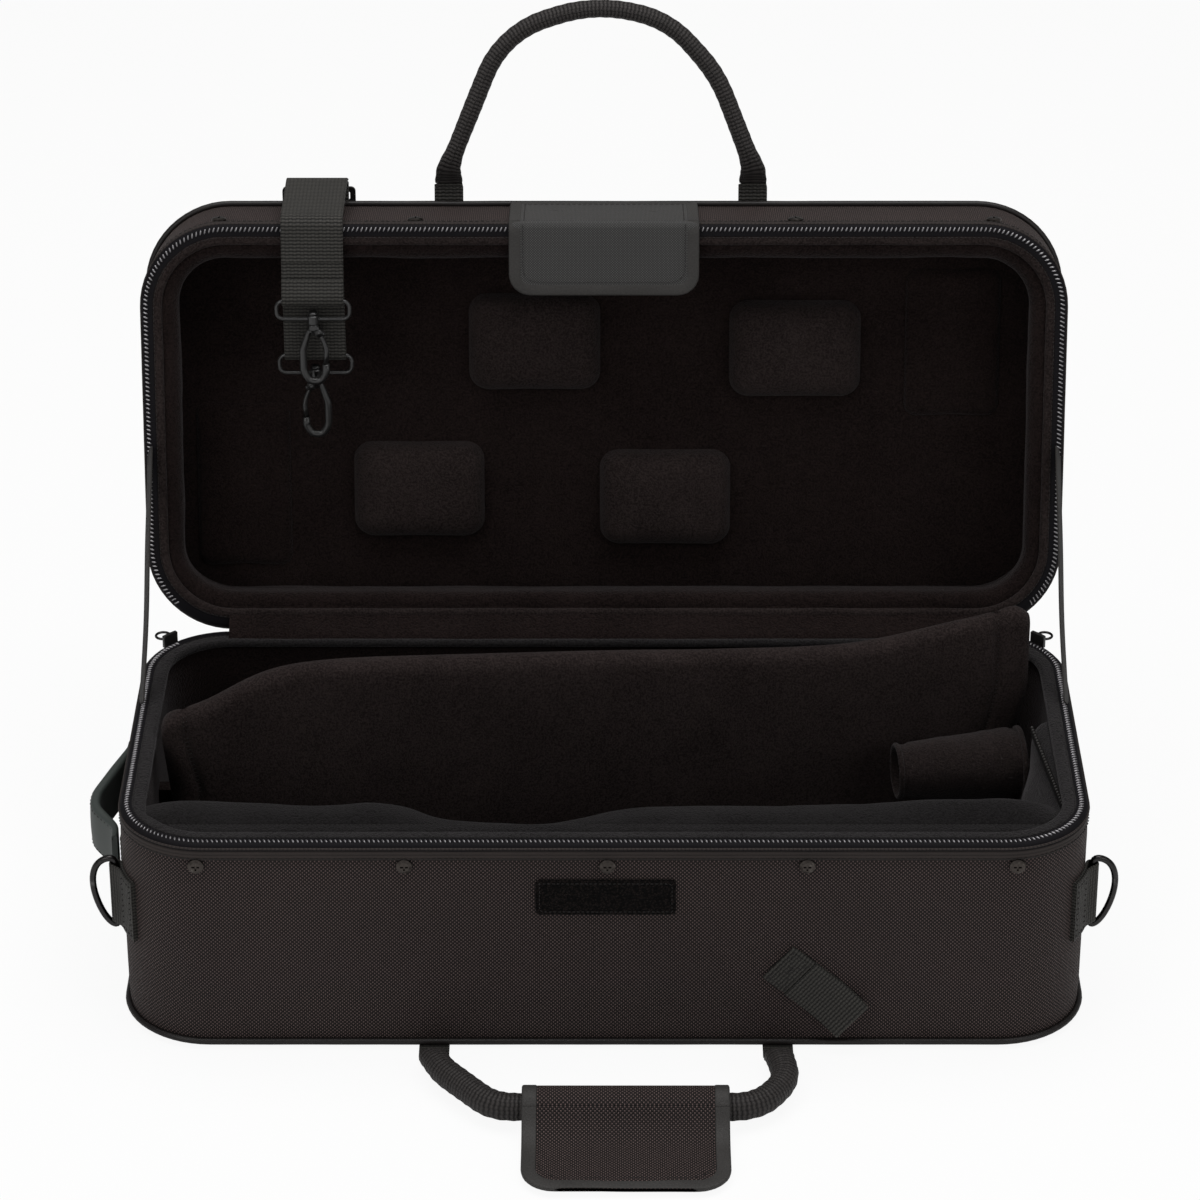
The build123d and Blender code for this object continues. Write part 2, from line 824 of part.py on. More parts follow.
def flap_sewn():
    """Part of the flap that is sewn to the lid's front wall."""
    return box(-flap_width / 2, flap_width / 2, flap_face() - flap_thickness, flap_face(),
               -flap_gap, flap_upper)


def flap_tongue_leaf():
    """Tongue that covers the zip, laid back against the open rim."""
    fold_y, fold_h = flap_hinge()
    leaf = box(-flap_width / 2, flap_width / 2, fold_y + flap_gap, fold_y + flap_tongue,
               fold_h + flap_gap - flap_thickness, fold_h + flap_gap)
    return fillet(leaf.edges().filter_by(Axis.Z).group_by(Axis.Y)[-1], flap_corner)


# ---- shoulder strap ----------------------------------------------------------------------
def strap_stack():
    return 2 * strap_thickness + strap_gap


def strap_level():
    """Depth of the strap's middle in front of the open rim (negative h)."""
    return -(0.5 + strap_stack() / 2)


def strap_top():
    """Y and h of the strap's crest behind the lid's outer edge."""
    return (front_y - strap_rise, lid_height + 4)


def strap_over_rim():
    """Doubled strap over the lid's front wall, in the rim-up frame."""
    level = strap_level()
    crest_y, crest_h = strap_top()
    points = ((strap_x, strap_root_y, level), (strap_x, front_y - 4.5, level),
              (strap_x, crest_y, lid_height - 8), (strap_x, crest_y + 3, crest_h))
    return webbing(points, [6, 20], strap_width, strap_stack())


def tail_axis():
    """Y and h of the fold between the crest and the hanging tail."""
    crest_y, crest_h = strap_top()
    return (crest_y + 3.5, crest_h + 1.9)


def strap_tail():
    """Doubled strap that hangs behind the open lid, in world axes."""
    fold_y, fold_h = tail_axis()
    x, y, z = lid_point(strap_x, fold_y, fold_h)
    lay = strap_thickness + strap_gap
    top = z - seat_gap
    low = z - strap_tail_length
    inner = box(x - strap_width / 2, x + strap_width / 2, y - lay / 2 - strap_thickness / 2,
                y - lay / 2 + strap_thickness / 2, low, top)
    outer = Pos(0, lay, 0) * inner
    foot = box(x - strap_width / 2, x + strap_width / 2, y - lay / 2 - strap_thickness / 2,
               y + lay / 2 + strap_thickness / 2, low - strap_thickness, low)
    return inner + outer + foot


def slide_adjuster():
    """Flat three-bar slide on the strap just behind the crest, in world axes."""
    fold_y, fold_h = tail_axis()
    x, y, z = lid_point(strap_x, fold_y, fold_h)
    frame = RectangleRounded(strap_width + 8, 22, 3)
    slots = Pos(0, 5.2) * RectangleRounded(strap_width + 1, 5.6, 1) + Pos(0, -5.2) * RectangleRounded(
        strap_width + 1, 5.6, 1)
    plate = extrude(frame - slots, slider_wire)
    out = strap_thickness + strap_gap / 2 + seat_gap
    return Plane(origin=(x, y + out, z - 16), x_dir=(1, 0, 0), z_dir=(0, 1, 0)) * plate


def strap_root():
    """World point where the hanging ends leave the rim."""
    return lid_point(strap_x, strap_root_y, strap_level())


def hang_gap():
    """Room below the rim's strap so that the hanging ends can swing."""
    lean = math.radians(open_angle - 90)
    return 2 * seat_gap + strap_stack() / 2 * math.sin(lean)


def front_loop_place():
    """World point of the top bar of the front strap end's loop."""
    x, y, z = strap_root()
    lay = (strap_thickness + strap_gap) / 2
    return (x, y - lay - front_kick - loop_wire - seat_gap, z - front_drop)


def rear_loop_place():
    """World point of the top bar of the rear strap end's loop."""
    x, y, z = strap_root()
    lay = (strap_thickness + strap_gap) / 2
    return (x, y + lay + loop_wire + seat_gap, z - rear_drop)


def fold_sleeve(place):
    """Fold of webbing round a loop's top bar."""
    x, y, z = place
    bore = loop_wire + seat_gap
    frame = Plane(origin=(x - strap_width / 2, y, z), z_dir=(1, 0, 0))
    return extrude(frame * (Circle(bore + strap_thickness) - Circle(bore)), strap_width)


def strap_end_front():
    """Front hanging end of the strap."""
    x, y, z = strap_root()
    lay = (strap_thickness + strap_gap) / 2
    place = front_loop_place()
    reach = loop_wire + seat_gap + strap_thickness / 2
    points = ((x, y - lay, z - hang_gap()), (x, y - lay, z - 5), (x, place[1] + reach, place[2] + 4),
              (x, place[1] + reach, place[2]))
    strap = webbing(points, [6, 6], strap_width, strap_thickness)
    bore = rod((x - strap_width, place[1], place[2]), (x + strap_width, place[1], place[2]),
               loop_wire + seat_gap)
    return strap + fold_sleeve(place) - bore


def strap_end_rear():
    """Rear hanging end of the strap."""
    x, y, z = strap_root()
    lay = (strap_thickness + strap_gap) / 2
    place = rear_loop_place()
    strap = box(x - strap_width / 2, x + strap_width / 2, y + lay - strap_thickness / 2,
                y + lay + strap_thickness / 2, place[2], z - hang_gap())
    bore = rod((x - strap_width, place[1], place[2]), (x + strap_width, place[1], place[2]),
               loop_wire + seat_gap)
    return strap + fold_sleeve(place) - bore


def end_loop(place):
    """Flat wire loop with the collar that the hook turns in."""
    x, y, z = place
    half = loop_width / 2
    points = ((-half, 0, 0), (half, 0, 0), (half, 0, -loop_height), (-half, 0, -loop_height))
    wire = wire_along(points, [4.6, 4.6, 4.6, 4.6], loop_wire, close=True)
    middle = -loop_height
    collar = rod((0, 0, middle + collar_height / 2), (0, 0, middle - collar_height / 2), collar_radius)
    collar = chamfer(collar.edges().filter_by(GeomType.CIRCLE), collar_radius / 6)
    bore = rod((0, 0, middle + collar_height), (0, 0, middle - collar_height), post_radius + post_gap)
    return Pos(x, y, z) * (wire + collar - bore)


def snap_hook(place, facing):
    """Swivel snap hook below a collar: headed post, shoulder and bent hook with gate ears."""
    x, y, z = place
    collar_low = -loop_height - collar_height / 2
    collar_high = -loop_height + collar_height / 2
    post = rod((0, 0, collar_low - 2), (0, 0, collar_high + post_gap + 1.4), post_radius)
    head = rod((0, 0, collar_high + post_gap), (0, 0, collar_high + post_gap + 1.8), post_head_radius)
    head = chamfer(head.edges().group_by(Axis.Z)[-1], post_head_radius / 4)
    neck = collar_low - post_gap
    shoulder = extrude(Plane(origin=(0, 0, neck), z_dir=(0, 0, -1)) * Circle(3.2), 3.6, taper=-8)
    half = hook_width / 2 - hook_wire
    low = neck - hook_length + hook_wire
    points = ((0, 0, neck - 2.2), (-half * 0.62, 0, neck - 6), (-half, 0, neck - 15),
              (-half, 0, low + 5.4), (-half * 0.45, 0, low), (half * 0.5, 0, low), (half, 0, low + 5),
              (half, 0, low + 9.6))
    bend = wire_along(points, [5, 12, 9, 4, 4, 5], hook_wire)
    pivot = gate_pivot(neck)
    ear_gap = gate_thickness / 2 + gate_gap
    ears = None
    for side in (-1, 1):
        plate = Plane(origin=(pivot[0], side * ear_gap, pivot[1]), z_dir=(0, side, 0)) * Circle(2.5)
        ear = extrude(plate, 1.1)
        web = box(-1.4, pivot[0], side * ear_gap, side * (ear_gap + 1.1), pivot[1] - 1, neck - 1)
        ears = ear + web if ears is None else ears + ear + web
    pin = rod((pivot[0], -ear_gap - 1.4, pivot[1]), (pivot[0], ear_gap + 1.4, pivot[1]), gate_pin_radius)
    body = post + head + shoulder + bend + ears + pin
    room = Plane(origin=(pivot[0], -ear_gap, pivot[1]), z_dir=(0, 1, 0)) * Circle(gate_eye_radius + gate_gap)
    body = body - (extrude(room, 2 * ear_gap) - pin)
    return Pos(x, y, z) * Rot(0, 0, facing) * body


def gate_pivot(neck):
    """X and Z of the gate's pin from the hook's own frame."""
    return (3.2, neck - 5.6)


def snap_gate(place, facing):
    """Spring gate of a snap hook: eye on the pin, arm down to the hook's tip, thumb lug."""
    x, y, z = place
    neck = -loop_height - collar_height / 2 - post_gap
    pivot = gate_pivot(neck)
    half = hook_width / 2 - hook_wire
    tip_z = neck - hook_length + hook_wire + 9.6 + 2 * gate_gap
    eye = Plane(origin=(pivot[0], -gate_thickness / 2, pivot[1]), z_dir=(0, 1, 0)) * Circle(gate_eye_radius)
    eye = extrude(eye, gate_thickness)
    arm = wire_along(((pivot[0], 0, pivot[1]), (half + 0.9, 0, pivot[1] - 8), (half, 0, tip_z)),
                     [20], gate_wire)
    lug = Pos(pivot[0] + 2.6, 0, pivot[1] - 1.2) * Sphere(gate_thickness / 2 + 0.2)
    bore = rod((pivot[0], -5, pivot[1]), (pivot[0], 5, pivot[1]), gate_pin_radius + post_gap / 2)
    return Pos(x, y, z) * Rot(0, 0, facing) * (eye + arm + lug - bore)


# ---- zip sliders -------------------------------------------------------------------------
def slider_inner_radius():
    return corner_radius + zip_proud + slider_gap


def zip_slider():
    """Right zip slider, parked on the back corner, as a curved plate with a crown."""
    low = slider_inner_radius()
    high = low + slider_thickness
    span = math.degrees(slider_length / low)
    plate = Circle(high) - Circle(low)
    far = 3 * corner_radius
    a0 = math.radians(slider_angle - span / 2)
    a1 = math.radians(slider_angle + span / 2)
    wedge = make_face(Polyline((0, 0), (far * math.cos(a0), far * math.sin(a0)),
                               (far * math.cos(a1), far * math.sin(a1)), close=True))
    body = extrude(plate & wedge, slider_height)
    body = fillet(body.edges().filter_by(GeomType.LINE), 0.8)
    hoop = Pos(high + crown_out, 0, slider_height / 2) * Rot(90, 0, 0) * Torus(crown_radius, crown_wire)
    solid = body + Rot(0, 0, slider_angle) * hoop
    return Pos(corner_x, corner_y, base_height - slider_height / 2) * solid


def pull_axis_radius():
    """Distance from the corner's centre to where the pull passes through the crown."""
    room = crown_out + crown_radius - crown_wire
    return slider_inner_radius() + slider_thickness + room / 2


def pull_ring():
    """Ring pull through the slider's crown, lying outwards."""
    reach = pull_axis_radius() + pull_radius
    hoop = Rot(0, 0, slider_angle) * (Pos(reach, 0, 0) * Torus(pull_radius, pull_wire))
    return Pos(corner_x, corner_y, base_height) * hoop


# ---- stay ribbons, hinge bands -----------------------------------------------------------
def stay_ribbon():
    """Right stay ribbon from the base's rim to the lid's rim."""
    lean = math.radians(open_angle - 90)
    low = Vector(0, ribbon_base_y, base_height)
    high = Vector(0, hinge_y + ribbon_lid_s * math.sin(lean), base_height + ribbon_lid_s * math.cos(lean))
    run = (high - low).normalized()
    side = Vector(0, -run.Z, run.Y) * (ribbon_width / 2)
    start = low - run * ribbon_width
    end = high + run * ribbon_width
    corners = [start - side, start + side, end + side, end - side]
    outline = Polyline(*[(0, c.Y, c.Z) for c in corners], close=True)
    strip = Pos(half_width - ribbon_inset, 0, 0) * extrude(make_face(outline), ribbon_thickness, dir=(1, 0, 0))
    above = box(-case_width, case_width, -case_depth, case_depth, base_height + seat_gap, 3 * base_height)
    before_lid = box(-case_width, case_width, -case_depth, case_depth, -case_depth, zip_top - seat_gap)
    return strip & above & seat_lid(before_lid)


def hinge_band(width):
    """One leaf of the fabric hinge on the back wall, in a half's rim-up frame."""
    span = case_width - 2 * corner_radius - 20
    return box(-span / 2, span / 2, half_depth, half_depth + band_thickness, band_start, band_start + width)


# ---- the whole case ----------------------------------------------------------------------
def left(shape):
    """Mirror a right-hand piece to the left."""
    return flip(shape, Plane.YZ)


def base_shells():
    """The base's skin, tray and rim."""
    return {
        "base_bottom_panel": seat_base(outer_panel(base_height)),
        "base_side_cover": seat_base(side_cover(base_height, screw_xs)),
        "base_shell": seat_base(shell(base_height, screw_xs)),
        "base_piping": seat_base(edge_piping(base_height)),
        "base_rim_tape": seat_base(rim_tape()),
        "base_zip_chain": seat_base(zip_chain()),
        "base_rim_band": seat_base(rim_band()),
        "base_screws": seat_base(front_screws(screw_xs)),
        "hinge_band_base": seat_base(hinge_band(band_width)),
    }


def base_inside():
    """The base's linings, pads and supports."""
    return {
        "base_wall_lining": seat_base(base_wall_lining()),
        "base_floor_pad": base_floor_pad(),
        "divider": divider(),
        "front_pad": front_pad(),
        "side_pad": group([side_pad(), side_pad_strip()]),
        "mouthpiece_pouch": mouthpiece_pouch(),
        "well_blocks": group([bell_block(), valve_block(), slide_block()]),
    }


def base_outside():
    """What is sewn or hung on the outside of the base."""
    return {
        "loop_patch": loop_patch(),
        "tab_sewn_end": tab_sewn_end(),
        "tab_free_end": tab_free_end(),
        "dring_webbing": both_sides(ring_webbing()),
        "dring_left": left(d_ring()),
        "dring_right": d_ring(),
        "side_grip": side_grip(),
        "side_grip_anchors": grip_anchors(),
        "base_handle_stubs": base_stubs(),
        "base_handle": base_rope(),
        "hand_wrap": hand_wrap(),
        "hand_wrap_leaf": wrap_leaf(),
        "zip_slider_left": left(zip_slider()),
        "zip_slider_right": zip_slider(),
        "pull_ring_left": left(pull_ring()),
        "pull_ring_right": pull_ring(),
        "stay_ribbons": both_sides(stay_ribbon()),
    }


def lid():
    """The lid with its padding, handle and flap."""
    return {
        "lid_outer_panel": seat_lid(outer_panel(lid_height)),
        "lid_side_cover": seat_lid(side_cover(lid_height, lid_screw_xs)),
        "lid_shell": seat_lid(shell(lid_height, lid_screw_xs)),
        "lid_piping": seat_lid(edge_piping(lid_height)),
        "lid_rim_tape": seat_lid(rim_tape()),
        "lid_zip_chain": seat_lid(zip_chain()),
        "lid_rim_band": seat_lid(rim_band()),
        "lid_screws": seat_lid(front_screws(lid_screw_xs)),
        "hinge_band_lid": seat_lid(hinge_band(band_width)),
        "lid_bolster": seat_lid(lid_bolster()),
        "lid_lining": seat_lid(group([lid_wall_lining(), lid_ceiling_lining()])),
        "lid_pads": seat_lid(lid_pads()),
        "lid_end_panels": seat_lid(lid_panels()),
        "lid_handle_stubs": seat_lid(lid_stubs()),
        "lid_handle": seat_lid(lid_rope()),
        "lid_flap_sewn": seat_lid(flap_sewn()),
        "lid_flap_tongue": seat_lid(flap_tongue_leaf()),
    }


def shoulder_strap():
    """The strap draped over the lid, its loops and snap hooks."""
    front = front_loop_place()
    rear = rear_loop_place()
    return {
        "strap_over_rim": seat_lid(strap_over_rim()),
        "strap_tail": strap_tail(),
        "strap_adjuster": slide_adjuster(),
        "strap_ends": group([strap_end_front(), strap_end_rear()]),
        "strap_end_loops": group([end_loop(front), end_loop(rear)]),
        "snap_hook_front": snap_hook(front, 0),
        "snap_gate_front": snap_gate(front, 0),
        "snap_hook_rear": snap_hook(rear, 180),
        "snap_gate_rear": snap_gate(rear, 180),
    }


def main():
    os.makedirs("parts", exist_ok=True)
    for group in (base_shells, base_inside, base_outside, lid, shoulder_strap):
        for name, shape in group().items():
            export_step(shape, "parts/" + name + ".step")


if __name__ == "__main__":
    main()
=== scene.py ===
"""Dresses the open trumpet case: nylon skin, plush padding, zip, webbing, handles and strap hardware."""
import logging
import math
from dataclasses import dataclass, field
from enum import Enum
from typing import Callable, Optional, Sequence

import bmesh
import bpy
import numpy as np
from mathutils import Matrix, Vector, noise


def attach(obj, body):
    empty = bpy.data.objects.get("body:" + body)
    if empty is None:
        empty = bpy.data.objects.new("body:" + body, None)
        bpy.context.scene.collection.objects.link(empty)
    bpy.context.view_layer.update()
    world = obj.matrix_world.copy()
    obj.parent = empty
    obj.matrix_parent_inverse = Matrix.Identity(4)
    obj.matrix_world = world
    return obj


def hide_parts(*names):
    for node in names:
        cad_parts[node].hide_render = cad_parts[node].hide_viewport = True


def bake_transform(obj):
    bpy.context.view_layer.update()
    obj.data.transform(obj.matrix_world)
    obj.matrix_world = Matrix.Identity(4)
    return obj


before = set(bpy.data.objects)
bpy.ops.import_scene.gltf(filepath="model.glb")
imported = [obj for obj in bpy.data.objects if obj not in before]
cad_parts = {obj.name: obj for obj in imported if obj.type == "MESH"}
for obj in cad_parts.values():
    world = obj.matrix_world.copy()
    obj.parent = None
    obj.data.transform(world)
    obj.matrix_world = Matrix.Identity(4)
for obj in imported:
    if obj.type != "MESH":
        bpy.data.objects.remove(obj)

LOG = logging.getLogger("trumpet_case")
MM = 0.001
Array = np.ndarray


# ---------------------------------------------------------------- the case's own sizes, in mm
@dataclass(frozen=True)
class CaseSizes:
    """Sizes shared by all pieces, the same as in the part's source."""

    half_x: float = 285.0
    half_y: float = 129.0
    corner: float = 52.0
    base_height: float = 141.0
    lid_height: float = 66.0
    edge_round: float = 6.0
    open_angle: float = 102.0
    skin: float = 1.2
    lining_in: float = 6.1
    lining_out: float = 12.1
    base_floor: float = 14.1
    lid_ceiling: float = 55.1
    front_y: float = -129.0


SIZES = CaseSizes()


class Half(Enum):
    """The two halves of the case, each modelled with its rim up and h as the depth from the rim."""

    BASE = "base"
    LID = "lid"

    def seat(self, points: Array) -> Array:
        """Places rim-up points (mm) in the case's frame.

        Args:
            points: array of x, y, h.

        Returns:
            The points as x, y, z in mm.
        """
        p = np.asarray(points, float)
        out = p.copy()
        if self is Half.BASE:
            out[..., 2] = SIZES.base_height - p[..., 2]
            return out
        turn = math.radians(-SIZES.open_angle)
        run = p[..., 1] - SIZES.half_y
        out[..., 1] = SIZES.half_y + run * math.cos(turn) - p[..., 2] * math.sin(turn)
        out[..., 2] = SIZES.base_height + run * math.sin(turn) + p[..., 2] * math.cos(turn)
        return out


def stay(points: Array) -> Array:
    """Leaves points that are already in the case's frame as they are."""
    return np.asarray(points, float)


# ---------------------------------------------------------------- shader maths
class Socket:
    """An output of a shader node that can be used in Python expressions."""

    def __init__(self, board: "Board", out: bpy.types.NodeSocket) -> None:
        """Wraps an output socket of a board."""
        self.board = board
        self.out = out

    def _do(self, operation: str, *others: "Value") -> "Socket":
        """Adds one Math node fed by this socket and the others."""
        return self.board.math(operation, self, *others)

    def __add__(self, other: "Value") -> "Socket":
        """Sum."""
        return self._do("ADD", other)

    __radd__ = __add__

    def __sub__(self, other: "Value") -> "Socket":
        """Difference."""
        return self._do("SUBTRACT", other)

    def __rsub__(self, other: "Value") -> "Socket":
        """Reflected difference."""
        return self.board.math("SUBTRACT", other, self)

    def __mul__(self, other: "Value") -> "Socket":
        """Product."""
        return self._do("MULTIPLY", other)

    __rmul__ = __mul__

    def __truediv__(self, other: "Value") -> "Socket":
        """Quotient."""
        return self._do("DIVIDE", other)

    def __pow__(self, other: "Value") -> "Socket":
        """Power."""
        return self._do("POWER", other)

    def sine(self) -> "Socket":
        """Sine of the value."""
        return self._do("SINE")

    def absolute(self) -> "Socket":
        """Size without the sign."""
        return self._do("ABSOLUTE")

    def floor(self) -> "Socket":
        """Whole part."""
        return self._do("FLOOR")

    def fraction(self) -> "Socket":
        """Part after the point."""
        return self._do("FRACT")

    def above(self, limit: "Value") -> "Socket":
        """1 where the value is over the limit, else 0."""
        return self._do("GREATER_THAN", limit)

    def least(self, other: "Value") -> "Socket":
        """The smaller of two values."""
        return self._do("MINIMUM", other)

    def most(self, other: "Value") -> "Socket":
        """The larger of two values."""
        return self._do("MAXIMUM", other)

    def between(self, low: float, high: float) -> "Socket":
        """Smooth step from 0 at low to 1 at high."""
        return self.board.node(
            "ShaderNodeMapRange", {"interpolation_type": "SMOOTHSTEP"},
            {"Value": self, "From Min": low, "From Max": high},
        )


Value = Socket | float | int


class Board:
    """Builds one material's node tree."""

    def __init__(self, name: str) -> None:
        """Starts an empty tree with its output node."""
        self.material = bpy.data.materials.new(name)
        self.material.use_nodes = True
        self.tree = self.material.node_tree
        self.tree.nodes.clear()
        self.output = self.tree.nodes.new("ShaderNodeOutputMaterial")

    def node(self, kind: str, settings: dict, inputs: dict, out: str | int = 0) -> Socket:
        """Adds a node.

        Args:
            kind: the node's type name.
            settings: its properties, set before its sockets.
            inputs: a value or a Socket for each socket, by name or index.
            out: the wanted output, by name or index.

        Returns:
            The chosen output.
        """
        made = self.tree.nodes.new(kind)
        for key, value in settings.items():
            if key == "stops":
                ramp = made.color_ramp
                while len(ramp.elements) < len(value):
                    ramp.elements.new(0.5)
                for element, (place, shade) in zip(ramp.elements, value):
                    element.position = place
                    element.color = (*shade, 1.0)
            else:
                setattr(made, key, value)
        for key, value in inputs.items():
            socket = made.inputs[key]
            if isinstance(value, Socket):
                self.tree.links.new(value.out, socket)
            else:
                socket.default_value = value
        return Socket(self, made.outputs[out])

    def math(self, operation: str, *values: Value) -> Socket:
        """Adds a Math node with these values."""
        return self.node("ShaderNodeMath", {"operation": operation}, dict(enumerate(values)))

    def place(self, uv: bool) -> tuple[Socket, Socket, Socket, Socket]:
        """Coordinates in mm.

        Args:
            uv: True for the piece's own UV map, False for Object coordinates.

        Returns:
            The vector and its x, y and z.
        """
        source = self.node("ShaderNodeTexCoord", {}, {}, "UV" if uv else "Object")
        vector = self.node("ShaderNodeVectorMath", {"operation": "SCALE"}, {0: source, "Scale": 1000.0})
        x = self.node("ShaderNodeSeparateXYZ", {}, {0: vector}, "X")
        return (vector, x, Socket(self, x.out.node.outputs["Y"]), Socket(self, x.out.node.outputs["Z"]))

    def grain(self, vector: Socket, scale: float, detail: float = 3.0, rough: float = 0.55) -> Socket:
        """Noise of about one feature per 1/scale mm, from 0 to 1."""
        return self.node(
            "ShaderNodeTexNoise", {}, {"Vector": vector, "Scale": scale, "Detail": detail, "Roughness": rough},
            "Fac",
        )

    def blend(self, amount: Value, low: Sequence[float] | Socket, high: Sequence[float] | Socket) -> Socket:
        """Mixes two colours."""
        def four(colour: Sequence[float] | Socket) -> Sequence[float] | Socket:
            """Adds the alpha to a plain colour."""
            return colour if isinstance(colour, Socket) else (*colour, 1.0)

        made = self.node(
            "ShaderNodeMix", {"data_type": "RGBA"}, {0: amount, 6: four(low), 7: four(high)}, 2
        )
        return made

    def bump(self, height: Socket, distance: float, strength: float = 1.0) -> Socket:
        """Bump of a height from 0 to 1 that is distance mm deep."""
        return self.node(
            "ShaderNodeBump", {}, {"Height": height, "Distance": distance * MM, "Strength": strength}, "Normal"
        )

    def surface(self, colour: Sequence[float] | Socket, rough: Value, normal: Optional[Socket] = None,
                metal: float = 0.0, sheen: float = 0.0, sheen_tint: Sequence[float] = (1, 1, 1),
                coat: float = 0.0, specular: float = 0.5) -> bpy.types.Material:
        """Finishes the material with one Principled shader.

        Args:
            colour: base colour or its link.
            rough: roughness or its link.
            normal: bump output.
            metal: metallic share.
            sheen: weight of the cloth sheen.
            sheen_tint: colour of the sheen.
            coat: weight of the clear coat.
            specular: level of the plain reflection.

        Returns:
            The material.
        """
        inputs: dict = {
            "Base Color": colour if isinstance(colour, Socket) else (*colour, 1.0),
            "Roughness": rough, "Metallic": metal, "Sheen Weight": sheen, "Sheen Roughness": 0.45,
            "Sheen Tint": (*sheen_tint, 1.0), "Coat Weight": coat, "Coat Roughness": 0.12,
            "Specular IOR Level": specular,
        }
        if normal is not None:
            inputs["Normal"] = normal
        shader = self.node("ShaderNodeBsdfPrincipled", {}, inputs, "BSDF")
        self.tree.links.new(shader.out, self.output.inputs["Surface"])
        return self.material


# ---------------------------------------------------------------- finishes
@dataclass(frozen=True)
class Finish:
    """A named finish of the case, made once and shared."""

    name: str
    slot: str
    uv: bool = True

    def paint(self, board: Board) -> bpy.types.Material:
        """Builds the nodes; each finish has its own."""
        raise NotImplementedError

    def material(self) -> bpy.types.Material:
        """The finish's material, built at first use."""
        found = bpy.data.materials.get(self.name)
        return found if found else self.paint(Board(self.name))


@dataclass(frozen=True)
class WovenNylon(Finish):
    """Ballistic nylon: a basket of thick threads with a dry sheen."""

    pitch: float = 1.22
    dark: tuple = (0.0016, 0.0010, 0.0009)
    light: tuple = (0.120, 0.084, 0.079)
    depth: float = 0.42
    shine: float = 0.5
    specular: float = 0.2

    def paint(self, board: Board) -> bpy.types.Material:
        """Paints the basket weave with painted highlights on the thread crowns and painted shade between the threads,
        a slow change of tone and a little dust.
        """
        vector, x, y, _ = board.place(self.uv)
        u = x / self.pitch
        v = y / self.pitch
        warp = (u * math.pi).sine().absolute()
        weft = (v * math.pi).sine().absolute()
        parity = ((u.floor() + v.floor()) * 0.5).fraction() * 2.0
        over = warp * (0.3 + weft * 0.7) * parity
        crown = over**1.5
        under = weft * (0.3 + warp * 0.7) * (1.0 - parity)
        height = over + under * 0.75
        thread = board.grain(vector, 2.2, 2.0)
        tone = board.grain(vector, 0.014, 3.0)
        # Colour: thread crowns painted light (painted highlight) and the hollows between threads painted dark (painted
        # shade), varied by random thread and tone noise.
        lift = (crown * 1.25 + under * 0.07) * (0.7 + thread * 0.6) * (0.72 + tone * 0.56)
        colour = board.blend(lift.least(1.0), self.dark, self.light)
        dust = board.grain(vector, 0.9, 1.0).between(0.76, 0.82)
        colour = board.blend(dust * 0.05, colour, (0.16, 0.14, 0.13))
        rough = self.shine + tone * 0.14 + (1.0 - height) * 0.16
        return board.surface(colour, rough, board.bump(height * 0.85 + thread * 0.15, self.depth), sheen=0.03,
                             sheen_tint=(0.9, 0.78, 0.72), specular=self.specular)


@dataclass(frozen=True)
class Plush(Finish):
    """Short brushed pile: soft, nearly black, lighter where the pile lies flat."""

    dark: tuple = (0.0030, 0.0016, 0.0014)
    light: tuple = (0.0190, 0.0125, 0.0115)
    lint: float = 0.05
    sheen: float = 0.10

    def paint(self, board: Board) -> bpy.types.Material:
        """Paints fibre grain, brushed patches and a few specks of lint."""
        vector, _, _, _ = board.place(False)
        fibre = board.grain(vector, 0.8, 2.0, 0.7).between(0.33, 0.67)
        patch = board.grain(vector, 0.02, 4.0, 0.6)
        nap = board.grain(vector, 0.35, 2.0)
        tone = (fibre * 0.62 + patch * 0.7 + nap * 0.2 - 0.28).most(0.0).least(1.0)
        colour = board.blend(tone, self.dark, self.light)
        speck = board.grain(vector, 0.55, 0.0).between(0.80, 0.84) * self.lint
        colour = board.blend(speck, colour, (0.12, 0.11, 0.11))
        normal = board.bump(fibre * 0.8 + nap * 0.4, 0.5, 0.8)
        return board.surface(colour, 0.92, normal, sheen=self.sheen, sheen_tint=(0.78, 0.74, 0.76), specular=0.05)


@dataclass(frozen=True)
class RibbedWebbing(Finish):
    """Woven webbing: cross ribs between two thicker selvedges; UV is in metres, v along the length."""

    rib: float = 2.2
    dark: tuple = (0.0030, 0.0027, 0.0024)
    light: tuple = (0.056, 0.053, 0.047)
    shine: float = 0.55

    def paint(self, board: Board) -> bpy.types.Material:
        """Paints ribs and the columns of warp threads, with painted highlights on the high spots, painted shade in the
        grooves and a slow random change of tone.
        """
        vector, x, y, _ = board.place(True)
        rib = (y * (math.pi / self.rib)).sine().absolute()
        column = (x * (math.pi / 2.3)).sine().absolute()
        shift = ((x / 2.3).floor() * 0.5).fraction()
        rib = (((y / self.rib) + shift * 0.25) * math.pi).sine().absolute() * 0.8 + rib * 0.2
        height = rib * 0.78 + column * 0.22
        fine = board.grain(vector, 2.6, 2.0)
        tone = board.grain(vector, 0.05, 3.0)
        # Colour from the rib height: raised threads painted light as a painted highlight, grooves painted dark as
        # painted shade, varied by random grain and tone.
        amount = height ** 1.7 * (0.65 + fine * 0.5) * (0.7 + tone * 0.55)
        colour = board.blend(amount.least(1.0), self.dark, self.light)
        return board.surface(colour, self.shine + tone * 0.12, board.bump(height + fine * 0.2, 0.5), sheen=0.04,
                             sheen_tint=(0.86, 0.84, 0.82), specular=0.22)


